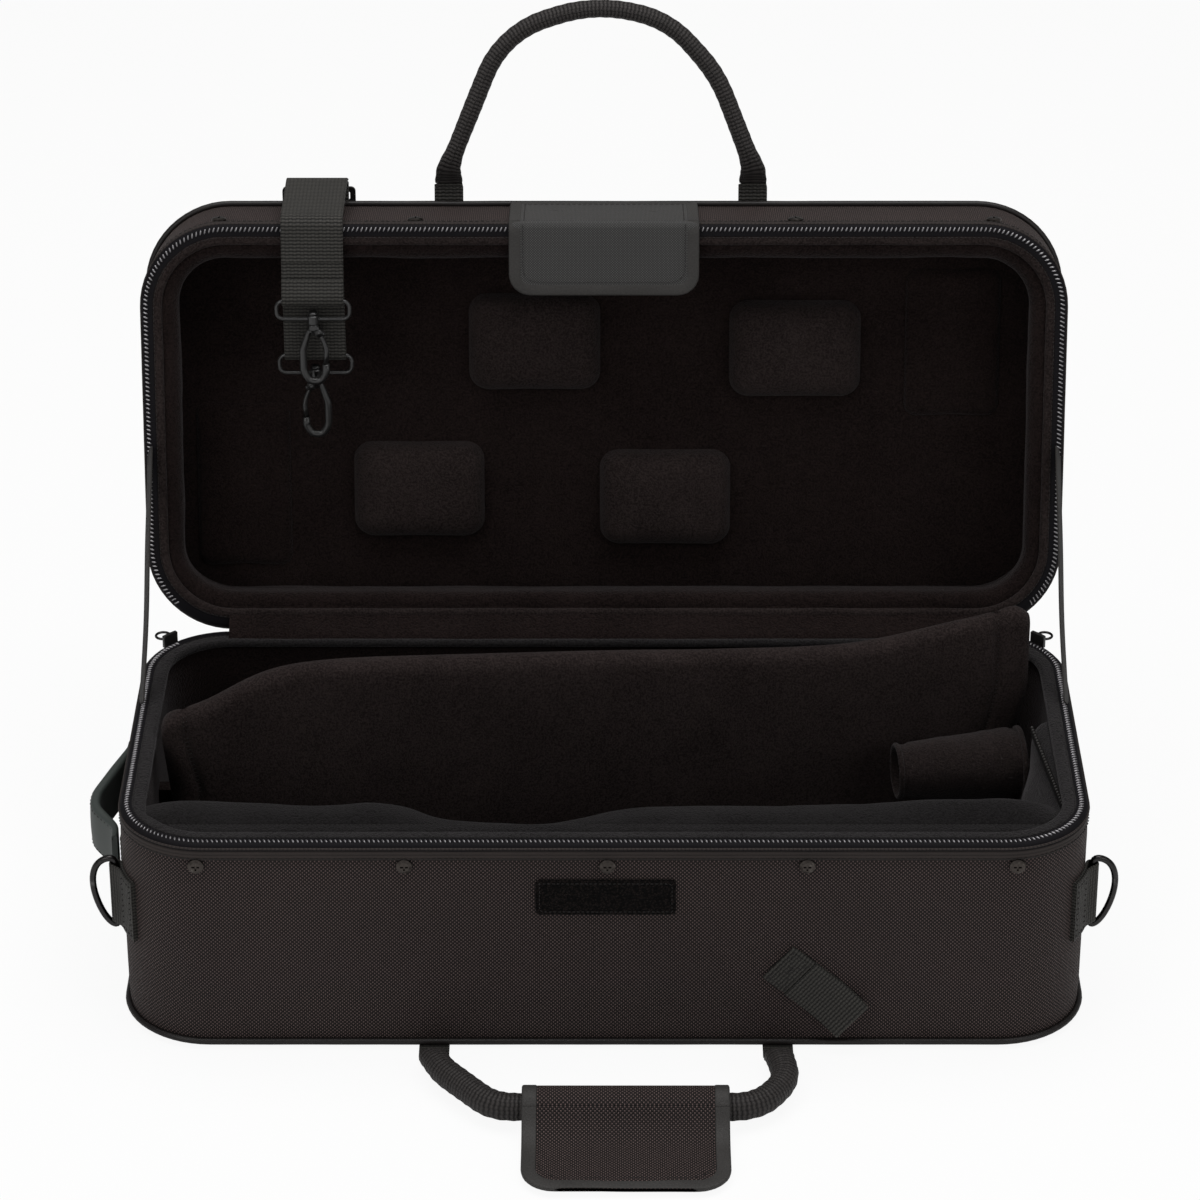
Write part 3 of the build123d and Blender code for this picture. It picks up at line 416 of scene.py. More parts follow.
@dataclass(frozen=True)
class Coated(Finish):
    """Smooth cloth, tape or vinyl with a fine grain; kept dark."""

    dark: tuple = (0.012, 0.011, 0.011)
    light: tuple = (0.034, 0.032, 0.031)
    grain_scale: float = 1.1
    depth: float = 0.12
    shine: float = 0.5
    sheen: float = 0.0
    coat: float = 0.0
    ribs: float = 0.0
    specular: float = 0.22

    def paint(self, board: Board) -> bpy.types.Material:
        """Paints the grain, slow handling marks and optional fine ribs, the ribs with painted highlights on their
        crowns and painted shade in their grooves.
        """
        vector, x, y, _ = board.place(self.uv)
        fine = board.grain(vector, self.grain_scale, 4.0, 0.6)
        worn = board.grain(vector, 0.03, 3.0)
        height = fine
        if self.ribs:
            height = fine * 0.4 + (x * (math.pi / self.ribs)).sine().absolute() * 0.6
        # Colour follows the height: random grain tone, and on ribbed tapes a painted highlight on the rib crowns and
        # painted shade in the grooves; worn adds real handling marks.
        colour = board.blend((height * 0.65 + worn * 0.5 - 0.1).most(0.0).least(1.0), self.dark, self.light)
        rough = self.shine + worn * 0.2 - fine * 0.05
        return board.surface(colour, rough, board.bump(height, self.depth), sheen=self.sheen, coat=self.coat,
                             specular=self.specular)


@dataclass(frozen=True)
class Pile(Finish):
    """Hook-and-loop face: a rough field of tiny loops."""

    dark: tuple = (0.0008, 0.0006, 0.0006)
    light: tuple = (0.014, 0.010, 0.009)

    def paint(self, board: Board) -> bpy.types.Material:
        """Paints cells of loops, their tops painted lighter as a painted highlight and the gaps between them dark as
        painted shade.
        """
        vector, _, _, _ = board.place(False)
        cell = board.node("ShaderNodeTexVoronoi", {"feature": "F1"}, {"Vector": vector, "Scale": 0.75},
                          "Distance")
        fuzz = board.grain(vector, 1.6, 3.0, 0.7)
        height = (1.0 - cell) * 0.6 + fuzz * 0.5
        # Loop tops painted light (painted highlight), gaps between loops painted dark (painted shade).
        colour = board.blend(height.between(0.45, 0.85), self.dark, self.light)
        return board.surface(colour, 0.85, board.bump(height, 0.9), sheen=0.03, specular=0.08)


@dataclass(frozen=True)
class Metal(Finish):
    """Metal or enamel on the small fittings, with rubbed edges and fine scratches."""

    tint: tuple = (0.028, 0.027, 0.027)
    worn: tuple = (0.11, 0.105, 0.10)
    metallic: float = 0.0
    gloss: float = 0.22
    coat: float = 0.6

    def paint(self, board: Board) -> bpy.types.Material:
        """Paints handling wear and hairline scratches."""
        vector, x, y, z = board.place(False)
        cloud = board.grain(vector, 0.22, 4.0, 0.65)
        hair = board.grain(vector, 3.0, 2.0)
        colour = board.blend(cloud.between(0.55, 0.8) * 0.6, self.tint, self.worn)
        rough = self.gloss + cloud * 0.16 + hair * 0.05
        return board.surface(colour, rough, board.bump(hair * 0.3 + cloud * 0.7, 0.03), metal=self.metallic,
                             coat=self.coat)


@dataclass(frozen=True)
class Ply(Finish):
    """Bare birch plywood of the trays."""

    def paint(self, board: Board) -> bpy.types.Material:
        """Paints long grain and the layers of the edge."""
        vector, x, y, z = board.place(False)
        long = board.node("ShaderNodeMapping", {}, {"Vector": vector, "Scale": (0.02, 0.3, 0.3)})
        grain = board.grain(long, 1.0, 5.0)
        layer = (z * (math.pi / 1.1)).sine().absolute()
        colour = board.blend(grain * 0.7 + layer * 0.3, (0.36, 0.22, 0.11), (0.62, 0.46, 0.28))
        return board.surface(colour, 0.6, board.bump(grain, 0.1))


NYLON = WovenNylon("nylon_weave", "nylon")
PLUSH = Plush("plush_pile", "plush")
# Copies of the one plush, each painted lighter or darker to stand in for the light and shade on its pieces: painted
# light on the pads, divider, lid binding and side pad, painted shade on the front cushion.
PLUSH_PAINTED_LIGHTER = Plush("plush_painted_lighter", "plush", dark=(0.0065, 0.0044, 0.0041), light=(0.0350, 0.0262, 0.0248), sheen=0.06)
PLUSH_PAINTED_LIT_GREY = Plush("plush_painted_lit_grey", "plush", dark=(0.0050, 0.0044, 0.0045), light=(0.0230, 0.0215, 0.0220), sheen=0.16)
PLUSH_PAINTED_DIMMER = Plush("plush_painted_dimmer", "plush", dark=(0.0040, 0.0035, 0.0035), light=(0.0165, 0.0155, 0.0158), sheen=0.10)
FLEECE = Plush("pouch_fleece", "plush", dark=(0.005, 0.0035, 0.0033), light=(0.024, 0.018, 0.017), lint=0.2)
WEBBING = RibbedWebbing("ribbed_webbing", "webbing")
ROPE_WEB = RibbedWebbing("rope_sheath", "webbing", rib=2.4, dark=(0.004, 0.003, 0.003),
                         light=(0.048, 0.043, 0.041))
COATED = WovenNylon("flap_nylon", "coated_nylon", pitch=0.8, dark=(0.016, 0.0155, 0.015),
                    light=(0.105, 0.103, 0.101), depth=0.1, shine=0.42, specular=0.35)
BINDING = Coated("binding_tape", "coated_nylon", dark=(0.010, 0.0095, 0.0090), light=(0.072, 0.068, 0.065),
                 grain_scale=0.9, depth=0.3, shine=0.5)
TAPE = Coated("zip_tape_knit", "zip_tape", dark=(0.0035, 0.0026, 0.0024), light=(0.046, 0.036, 0.033), ribs=2.4,
              depth=0.3, shine=0.62)
ZIP_TAPE = Coated("zip_tape_black", "zip_tape", dark=(0.0015, 0.0012, 0.0015), light=(0.007, 0.006, 0.008),
                  ribs=1.2, depth=0.1, shine=0.6, specular=0.12)
RIBBON = Coated("stay_ribbon_weave", "ribbon", dark=(0.008, 0.007, 0.006), light=(0.032, 0.029, 0.027), ribs=0.9,
                depth=0.15, shine=0.55)
PIPING = Coated("piping_vinyl", "piping", dark=(0.006, 0.005, 0.005), light=(0.018, 0.015, 0.014), shine=0.34,
                depth=0.08, specular=0.3)
GRIP = Coated("grip_leather", "grip_leather", dark=(0.006, 0.008, 0.0075), light=(0.026, 0.033, 0.030), shine=0.3,
              depth=0.1, coat=0.15, specular=0.35)
THREAD = Coated("sewing_thread", "webbing", dark=(0.008, 0.007, 0.007), light=(0.034, 0.031, 0.030), depth=0.05,
                grain_scale=2.0, shine=0.5)
TEETH = Metal("zip_teeth_metal", "zip_teeth", tint=(0.32, 0.31, 0.32), worn=(0.64, 0.63, 0.64), metallic=1.0,
              gloss=0.3, coat=0.0)
BLACK_METAL = Metal("black_enamel", "black_metal", tint=(0.010, 0.0095, 0.0095), worn=(0.05, 0.047, 0.045),
                    gloss=0.26, coat=0.35)
RING_METAL = Metal("dark_nickel", "black_metal", tint=(0.040, 0.038, 0.038), worn=(0.17, 0.165, 0.16), metallic=1.0,
                   gloss=0.18, coat=0.0)
SCREW = Metal("screw_nickel", "screw_steel", tint=(0.06, 0.052, 0.047), worn=(0.22, 0.20, 0.18), metallic=1.0,
              gloss=0.22, coat=0.0)
LOOPS = Pile("loop_pile_field", "loop_pile")
PLYWOOD = Ply("birch_ply", "plywood")


# ---------------------------------------------------------------- mesh building
def arc_lengths(points: Array) -> Array:
    """Distance run along a line of points."""
    steps = np.linalg.norm(np.diff(points, axis=0), axis=1)
    return np.concatenate([[0.0], np.cumsum(steps)])


def smooth_line(points: Sequence[Sequence[float]], count: int) -> Array:
    """Even points on the clamped quadratic B-spline of a control polygon.

    Args:
        points: the control points.
        count: how many points to return.

    Returns:
        The points, evenly spaced along the curve.
    """
    ctrl = np.asarray(points, float)
    mids = (ctrl[1:-2] + ctrl[2:-1]) / 2
    knots = [ctrl[0], *mids, ctrl[-1]]
    dense = []
    share = np.linspace(0, 1, 40, endpoint=False)[:, None]
    for k in range(len(knots) - 1):
        a, b, c = knots[k], ctrl[k + 1], knots[k + 1]
        dense.append((1 - share) ** 2 * a + 2 * share * (1 - share) * b + share**2 * c)
    line = np.vstack([*dense, ctrl[-1:]])
    run = arc_lengths(line)
    want = np.linspace(0, run[-1], count)
    return np.stack([np.interp(want, run, line[:, k]) for k in range(line.shape[1])], axis=1)


def filleted(points: Sequence[Sequence[float]], radii: Sequence[float], step: float = 3.0) -> Array:
    """A run of straight lines with tangent arcs at its corners.

    Args:
        points: the corners.
        radii: the arc radius at each inner corner.
        step: the greatest distance between points.

    Returns:
        The points of the line.
    """
    pts = [np.asarray(p, float) for p in points]
    out = [pts[0]]
    for k, radius in enumerate(radii, start=1):
        a, b, c = pts[k - 1], pts[k], pts[k + 1]
        to_a = (a - b) / np.linalg.norm(a - b)
        to_c = (c - b) / np.linalg.norm(c - b)
        half = math.acos(max(-1.0, min(1.0, float(to_a @ to_c)))) / 2
        back = radius / math.tan(half)
        middle = b + (to_a + to_c) / np.linalg.norm(to_a + to_c) * (radius / math.sin(half))
        start, end = b + to_a * back, b + to_c * back
        sweep = math.pi - 2 * half
        count = max(4, int(radius * sweep / (step * 0.6)))
        v0, v1 = start - middle, end - middle
        for n in range(count + 1):
            t = n / count
            weight0 = math.sin((1 - t) * sweep) / math.sin(sweep)
            weight1 = math.sin(t * sweep) / math.sin(sweep)
            out.append(middle + v0 * weight0 + v1 * weight1)
    out.append(pts[-1])
    line = [out[0]]
    for p in out[1:]:
        gap = float(np.linalg.norm(p - line[-1]))
        if gap < 1e-4:
            continue
        pieces = max(1, int(math.ceil(gap / step)))
        base = line[-1]
        line.extend(base + (p - base) * (n / pieces) for n in range(1, pieces + 1))
    return np.array(line)


def rounded_section(width: float, height: float, radius: float, per_corner: int = 4,
                    along: int = 1) -> Array:
    """Closed outline of a rounded rectangle, anticlockwise from its right side.

    Args:
        width: size along the first axis.
        height: size along the second axis.
        radius: corner radius.
        per_corner: steps in each corner.
        along: steps on each long side.

    Returns:
        The outline's points.
    """
    radius = min(radius, width / 2 - 1e-3, height / 2 - 1e-3)
    cx, cy = width / 2 - radius, height / 2 - radius
    out: list = []
    for k, (sx, sy) in enumerate(((1, -1), (1, 1), (-1, 1), (-1, -1))):
        start = -90 + 90 * k
        corner = []
        for n in range(per_corner + 1):
            a = math.radians(start + 90 * n / per_corner)
            corner.append((sx * cx + radius * math.cos(a), sy * cy + radius * math.sin(a)))
        if out and along > 1 and k in (2, 0):
            first, last = np.array(out[-1]), np.array(corner[0])
            out.extend(tuple(first + (last - first) * n / along) for n in range(1, along))
        out.extend(corner)
    if along > 1:
        first, last = np.array(out[-1]), np.array(out[0])
        out.extend(tuple(first + (last - first) * n / along) for n in range(1, along))
    return np.array(out)


def wobble(points: Array, amount: float, size: float, seed: float) -> Array:
    """Slow uneven shifts for cloth, the same at each run.

    Args:
        points: where the shift is read, in mm.
        amount: the greatest shift in mm.
        size: the size of one swell in mm.
        seed: which pattern.

    Returns:
        One signed shift per point.
    """
    flat = points.reshape(-1, 3) / size + seed
    values = np.array([noise.noise(Vector(p)) for p in flat])
    return (values * amount).reshape(points.shape[:-1])


class Mesher:
    """Collects patches of quads in a local frame and turns them into one finished piece."""

    def __init__(self) -> None:
        """Starts empty."""
        self.points: list[Array] = []
        self.faces: list[list[int]] = []
        self.uvs: list[tuple[float, float]] = []
        self.count = 0

    def add_points(self, points: Array) -> int:
        """Adds points and returns the index of the first."""
        first = self.count
        flat = np.asarray(points, float).reshape(-1, 3)
        self.points.append(flat)
        self.count += len(flat)
        return first

    def grid(self, points: Array, u: Array, v: Array, close_i: bool = False, close_j: bool = False) -> int:
        """Adds a patch of quads.

        Args:
            points: (n, m, 3) in mm.
            u: texture run along i in mm, with one more value where i closes.
            v: texture run along j in mm, with one more value where j closes.
            close_i: joins the last row to the first.
            close_j: joins the last column to the first.

        Returns:
            The index of the patch's first point.
        """
        n, m = points.shape[:2]
        first = self.add_points(points)
        for i in range(n if close_i else n - 1):
            i2 = (i + 1) % n
            for j in range(m if close_j else m - 1):
                j2 = (j + 1) % m
                self.faces.append([first + i * m + j, first + i2 * m + j, first + i2 * m + j2, first + i * m + j2])
                self.uvs += [(u[i], v[j]), (u[i + 1], v[j]), (u[i + 1], v[j + 1]), (u[i], v[j + 1])]
        return first

    def cap(self, loop: Sequence[int]) -> None:
        """Closes a loop with a fan round its middle."""
        everything = np.vstack(self.points)
        ring = everything[list(loop)]
        middle = ring.mean(axis=0)
        spread = ring - middle
        _, _, axes = np.linalg.svd(spread, full_matrices=False)
        flat = spread @ axes[:2].T
        centre = self.add_points(middle[None])
        total = len(loop)
        for k in range(total):
            k2 = (k + 1) % total
            self.faces.append([loop[k], loop[k2], centre])
            self.uvs += [tuple(flat[k]), tuple(flat[k2]), (0.0, 0.0)]

    def tube(self, path: Array, sections: Array, side: Array, up: Array, caps: bool = True) -> None:
        """Adds a closed body along a path.

        Args:
            path: (n, 3) line.
            sections: (m, 2) or (n, m, 2) outline across the path.
            side: (n, 3) unit vectors of the outline's first axis.
            up: (n, 3) unit vectors of its second axis.
            caps: closes both ends.
        """
        n = len(path)
        if sections.ndim == 2:
            sections = np.repeat(sections[None], n, axis=0)
        m = sections.shape[1]
        points = path[:, None] + sections[..., :1] * side[:, None] + sections[..., 1:] * up[:, None]
        around = arc_lengths(np.vstack([sections[n // 2], sections[n // 2][:1]]))
        first = self.grid(points, arc_lengths(path), around, close_j=True)
        if caps:
            self.cap([first + j for j in range(m)])
            self.cap([first + (n - 1) * m + j for j in range(m)])

    def piece(self, name: str, finish: Finish, seat: Callable[[Array], Array] = stay,
              sharp: float = 40.0, swap: bool = False) -> bpy.types.Object:
        """Makes the finished object.

        Args:
            name: the piece's name.
            finish: its finish.
            seat: moves the points to the case's frame, in mm.
            sharp: edges bent by more than this stay crisp, in degrees.
            swap: exchanges the two texture axes.

        Returns:
            The object, at the origin, with its place in its mesh.
        """
        mesh = bpy.data.meshes.new(name)
        placed = seat(np.vstack(self.points)) * MM
        mesh.from_pydata(placed.tolist(), [], self.faces)
        layer = mesh.uv_layers.new(name="UVMap")
        uv = np.array(self.uvs, float) * MM
        if swap:
            uv = uv[:, ::-1]
        layer.data.foreach_set("uv", uv.astype(np.float32).ravel())
        made = bpy.data.objects.new(name, mesh)
        bpy.context.scene.collection.objects.link(made)
        tidy_mesh(mesh, sharp)
        mesh.materials.append(finish.material())
        return made


def tidy_mesh(mesh: bpy.types.Mesh, sharp: float) -> None:
    """Merges doubles, points faces outwards and shades smooth up to an angle."""
    bm = bmesh.new()
    bm.from_mesh(mesh)
    bmesh.ops.remove_doubles(bm, verts=bm.verts, dist=2e-6)
    bmesh.ops.dissolve_degenerate(bm, edges=bm.edges, dist=1e-6)
    bmesh.ops.recalc_face_normals(bm, faces=bm.faces)
    bm.to_mesh(mesh)
    bm.free()
    mesh.polygons.foreach_set("use_smooth", [True] * len(mesh.polygons))
    mesh.set_sharp_from_angle(angle=math.radians(sharp))


def settle(piece: bpy.types.Object, body: Optional[str], slot: str, *nodes: str,
           fill: Optional[float] = None) -> bpy.types.Object:
    """Makes a piece ride and replace its nodes.

    Args:
        piece: the finished object.
        body: the body that carries it, or None for cloth that bends between two.
        slot: its material slot; not used.
        nodes: the CAD nodes that it stands for.
        fill: how tight a padded piece is, or None for others; not used.

    Returns:
        The same object.
    """
    if body:
        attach(piece, body)
    if nodes:
        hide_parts(*nodes)
    LOG.info("%s rides on %s", piece.name, body)
    return piece


# ---------------------------------------------------------------- the case's outline
@dataclass(frozen=True)
class Outline:
    """Plan of the case as stations: a core point and an outward direction each."""

    core: Array
    out: Array
    run: Array

    @staticmethod
    def of_case(step: float = 9.0, per_corner: int = 14) -> "Outline":
        """Stations from the middle of the back, anticlockwise, closed."""
        cx, cy = SIZES.half_x - SIZES.corner, SIZES.half_y - SIZES.corner
        core: list = []
        out: list = []

        def straight(a: tuple, b: tuple, direction: tuple) -> None:
            """Adds the stations of a straight side."""
            length = math.dist(a, b)
            count = max(2, int(length / step))
            for k in range(count):
                t = k / count
                core.append((a[0] + (b[0] - a[0]) * t, a[1] + (b[1] - a[1]) * t))
                out.append(direction)

        def turn(centre: tuple, start: float) -> None:
            """Adds the stations of a corner."""
            for k in range(per_corner):
                a = math.radians(start + 90 * k / per_corner)
                core.append(centre)
                out.append((math.cos(a), math.sin(a)))

        straight((0, cy), (-cx, cy), (0, 1))
        turn((-cx, cy), 90)
        straight((-cx, cy), (-cx, -cy), (-1, 0))
        turn((-cx, -cy), 180)
        straight((-cx, -cy), (cx, -cy), (0, -1))
        turn((cx, -cy), 270)
        straight((cx, -cy), (cx, cy), (1, 0))
        turn((cx, cy), 0)
        straight((cx, cy), (0, cy), (0, 1))
        c, o = np.array(core, float), np.array(out, float)
        edge = c + o * SIZES.corner
        return Outline(c, o, arc_lengths(np.vstack([edge, edge[:1]])))

    def ring(self, inset: Array | float, h: Array | float) -> Array:
        """Points of the plan drawn in by inset at depth h.

        Args:
            inset: one value, (m,) or (n, m).
            h: depth below the rim, of the same shape.

        Returns:
            (n, m, 3) points.
        """
        n = len(self.core)
        inset = np.broadcast_to(np.atleast_1d(inset), (n, np.shape(np.atleast_1d(inset))[-1]))
        h = np.broadcast_to(np.atleast_1d(h), inset.shape)
        xy = self.core[:, None] + self.out[:, None] * (SIZES.corner - inset)[..., None]
        return np.concatenate([xy, h[..., None]], axis=2)


PLAN = Outline.of_case()


def hoop(profile: Sequence[Sequence[float]], cloth: float = 0.0, size: float = 60.0, seed: float = 0.0,
         closed: bool = True) -> Mesher:
    """Sweeps a profile of (inset, h) all round the plan.

    Args:
        profile: the points of the section.
        cloth: how far the cloth swells and dips, in mm.
        size: the size of one swell.
        seed: which pattern of swells.
        closed: whether the profile closes on itself.

    Returns:
        The mesher with the swept band.
    """
    section = np.asarray(profile, float)
    points = PLAN.ring(section[:, 0], section[:, 1])
    if cloth:
        shift = wobble(points, cloth, size, seed)
        points[..., :2] += PLAN.out[:, None] * shift[..., None]
    made = Mesher()
    line = np.vstack([section, section[:1]]) if closed else section
    made.grid(points, PLAN.run, arc_lengths(line), close_i=True, close_j=closed)
    return made


def strip_profile(inset0: float, inset1: float, h0: float, h1: float, radius: float, steps: int = 1,
                  per_corner: int = 3) -> Array:
    """Rounded rectangular section between two insets and two depths."""
    section = rounded_section(abs(h1 - h0), abs(inset1 - inset0), radius, per_corner, steps)
    return np.stack([(inset0 + inset1) / 2 + section[:, 1], (h0 + h1) / 2 + section[:, 0]], axis=1)


def clamp_plan(points: Array, inset: float) -> Array:
    """Pulls points that lie outside the plan at an inset back onto it."""
    cx, cy = SIZES.half_x - SIZES.corner, SIZES.half_y - SIZES.corner
    out = points.copy()
    core = np.stack([np.clip(points[..., 0], -cx, cx), np.clip(points[..., 1], -cy, cy)], axis=-1)
    away = points[..., :2] - core
    far = np.linalg.norm(away, axis=-1)
    limit = SIZES.corner - inset
    share = np.where(far > limit, limit / np.maximum(far, 1e-6), 1.0)
    out[..., :2] = core + away * share[..., None]
    return out


# ---------------------------------------------------------------- repeats made with Geometry Nodes
class Bead(Enum):
    """What is repeated along a line."""

    STITCH = "stitch"
    TOOTH = "tooth"


@dataclass(frozen=True)
class BeadRow:
    """A row of stitches or zip teeth set along a line by a node tree."""

    kind: Bead
    pitch: float
    length: float
    width: float
    height: float

    def tree(self) -> bpy.types.NodeTree:
        """The node tree shared by all rows of this kind, built at first use."""
        name = f"{self.kind.value}_row"
        if name in bpy.data.node_groups:
            return bpy.data.node_groups[name]
        tree = bpy.data.node_groups.new(name, "GeometryNodeTree")
        face = tree.interface
        face.new_socket("Line", in_out="INPUT", socket_type="NodeSocketGeometry")
        for label, value in (("Pitch", self.pitch), ("Length", self.length), ("Width", self.width),
                             ("Height", self.height), ("Unevenness", 0.1)):
            made = face.new_socket(label, in_out="INPUT", socket_type="NodeSocketFloat")
            made.default_value = value * (1 if label == "Unevenness" else MM)
        face.new_socket("Seed", in_out="INPUT", socket_type="NodeSocketInt").default_value = 4
        face.new_socket("Finish", in_out="INPUT", socket_type="NodeSocketMaterial")
        face.new_socket("Row", in_out="OUTPUT", socket_type="NodeSocketGeometry")
        add = tree.nodes.new
        link = tree.links.new
        start, end = add("NodeGroupInput"), add("NodeGroupOutput")
        curve = add("GeometryNodeMeshToCurve")
        resample = add("GeometryNodeResampleCurve")
        resample.mode = "LENGTH"
        tangent = add("GeometryNodeInputTangent")
        align = add("FunctionNodeAlignRotationToVector")
        align.axis = "X"
        align.pivot_axis = "Z"
        bead = add("GeometryNodeMeshUVSphere")
        bead.inputs["Segments"].default_value = 8 if self.kind is Bead.TOOTH else 6
        bead.inputs["Rings"].default_value = 5 if self.kind is Bead.TOOTH else 4
        bead.inputs["Radius"].default_value = 0.5
        uneven = add("FunctionNodeRandomValue")
        uneven.data_type = "FLOAT"
        low = add("ShaderNodeMath")
        low.operation = "SUBTRACT"
        low.inputs[0].default_value = 1.0
        size = add("ShaderNodeCombineXYZ")
        scaled = add("ShaderNodeVectorMath")
        scaled.operation = "SCALE"
        lean = add("FunctionNodeRotateRotation")
        lean.rotation_space = "LOCAL"
        lean.inputs["Rotate By"].default_value = (0.0, 0.0, math.radians(24 if self.kind is Bead.TOOTH else 0))
        place = add("GeometryNodeInstanceOnPoints")
        solid = add("GeometryNodeRealizeInstances")
        paint = add("GeometryNodeSetMaterial")
        link(start.outputs["Line"], curve.inputs["Mesh"])
        link(curve.outputs["Curve"], resample.inputs["Curve"])
        link(start.outputs["Pitch"], resample.inputs["Length"])
        link(tangent.outputs["Tangent"], align.inputs["Vector"])
        link(start.outputs["Length"], size.inputs["X"])
        link(start.outputs["Width"], size.inputs["Y"])
        link(start.outputs["Height"], size.inputs["Z"])
        link(start.outputs["Unevenness"], low.inputs[1])
        link(low.outputs[0], uneven.inputs["Min"])
        link(start.outputs["Seed"], uneven.inputs["Seed"])
        link(size.outputs["Vector"], scaled.inputs[0])
        link(uneven.outputs["Value"], scaled.inputs["Scale"])
        link(resample.outputs["Curve"], place.inputs["Points"])
        link(bead.outputs["Mesh"], place.inputs["Instance"])
        link(align.outputs["Rotation"], lean.inputs["Rotation"])
        link(lean.outputs["Rotation"], place.inputs["Rotation"])
        link(scaled.outputs["Vector"], place.inputs["Scale"])
        link(place.outputs["Instances"], solid.inputs["Geometry"])
        link(solid.outputs["Geometry"], paint.inputs["Geometry"])
        link(start.outputs["Finish"], paint.inputs["Material"])
        link(paint.outputs["Geometry"], end.inputs["Row"])
        return tree

    def along(self, name: str, lines: Sequence[Array], finish: Finish,
              seat: Callable[[Array], Array] = stay) -> bpy.types.Object:
        """Sets the row along lines and returns it as a plain mesh.

        Args:
            name: the piece's name.
            lines: each an (n, 3) line in mm in the local frame, whose z axis the beads stand on.
            finish: the finish of the beads.
            seat: moves the result to the case's frame, in mm.

        Returns:
            The finished piece.
        """
        points, edges = [], []
        for line in lines:
            first = len(points)
            points.extend((np.asarray(line, float) * MM).tolist())
            edges.extend((first + k, first + k + 1) for k in range(len(line) - 1))
        guide = bpy.data.meshes.new(name + "_line")
        guide.from_pydata(points, edges, [])
        carrier = bpy.data.objects.new(name + "_line", guide)
        bpy.context.scene.collection.objects.link(carrier)
        tree = self.tree()
        modifier = carrier.modifiers.new("row", "NODES")
        modifier.node_group = tree
        sockets = {item.name: item.identifier for item in tree.interface.items_tree if item.in_out == "INPUT"}
        modifier[sockets["Pitch"]] = self.pitch * MM
        modifier[sockets["Length"]] = self.length * MM
        modifier[sockets["Width"]] = self.width * MM
        modifier[sockets["Height"]] = self.height * MM
        modifier[sockets["Finish"]] = finish.material()
        view = bpy.context.evaluated_depsgraph_get()
        mesh = bpy.data.meshes.new_from_object(carrier.evaluated_get(view), depsgraph=view)
        carrier.modifiers.clear()
        bpy.data.objects.remove(carrier)
        flat = np.empty(len(mesh.vertices) * 3, np.float64)
        mesh.vertices.foreach_get("co", flat)
        placed = seat(flat.reshape(-1, 3) / MM) * MM
        mesh.vertices.foreach_set("co", placed.astype(np.float32).ravel())
        mesh.name = name
        made = bpy.data.objects.new(name, mesh)
        bpy.context.scene.collection.objects.link(made)
        tidy_mesh(mesh, 70.0)
        if not mesh.materials:
            mesh.materials.append(finish.material())
        return made


STITCH = BeadRow(Bead.STITCH, 3.4, 2.7, 0.75, 0.6)
FINE_STITCH = BeadRow(Bead.STITCH, 2.7, 2.1, 0.6, 0.5)
TOOTH = BeadRow(Bead.TOOTH, 2.75, 1.3, 3.8, 1.9)


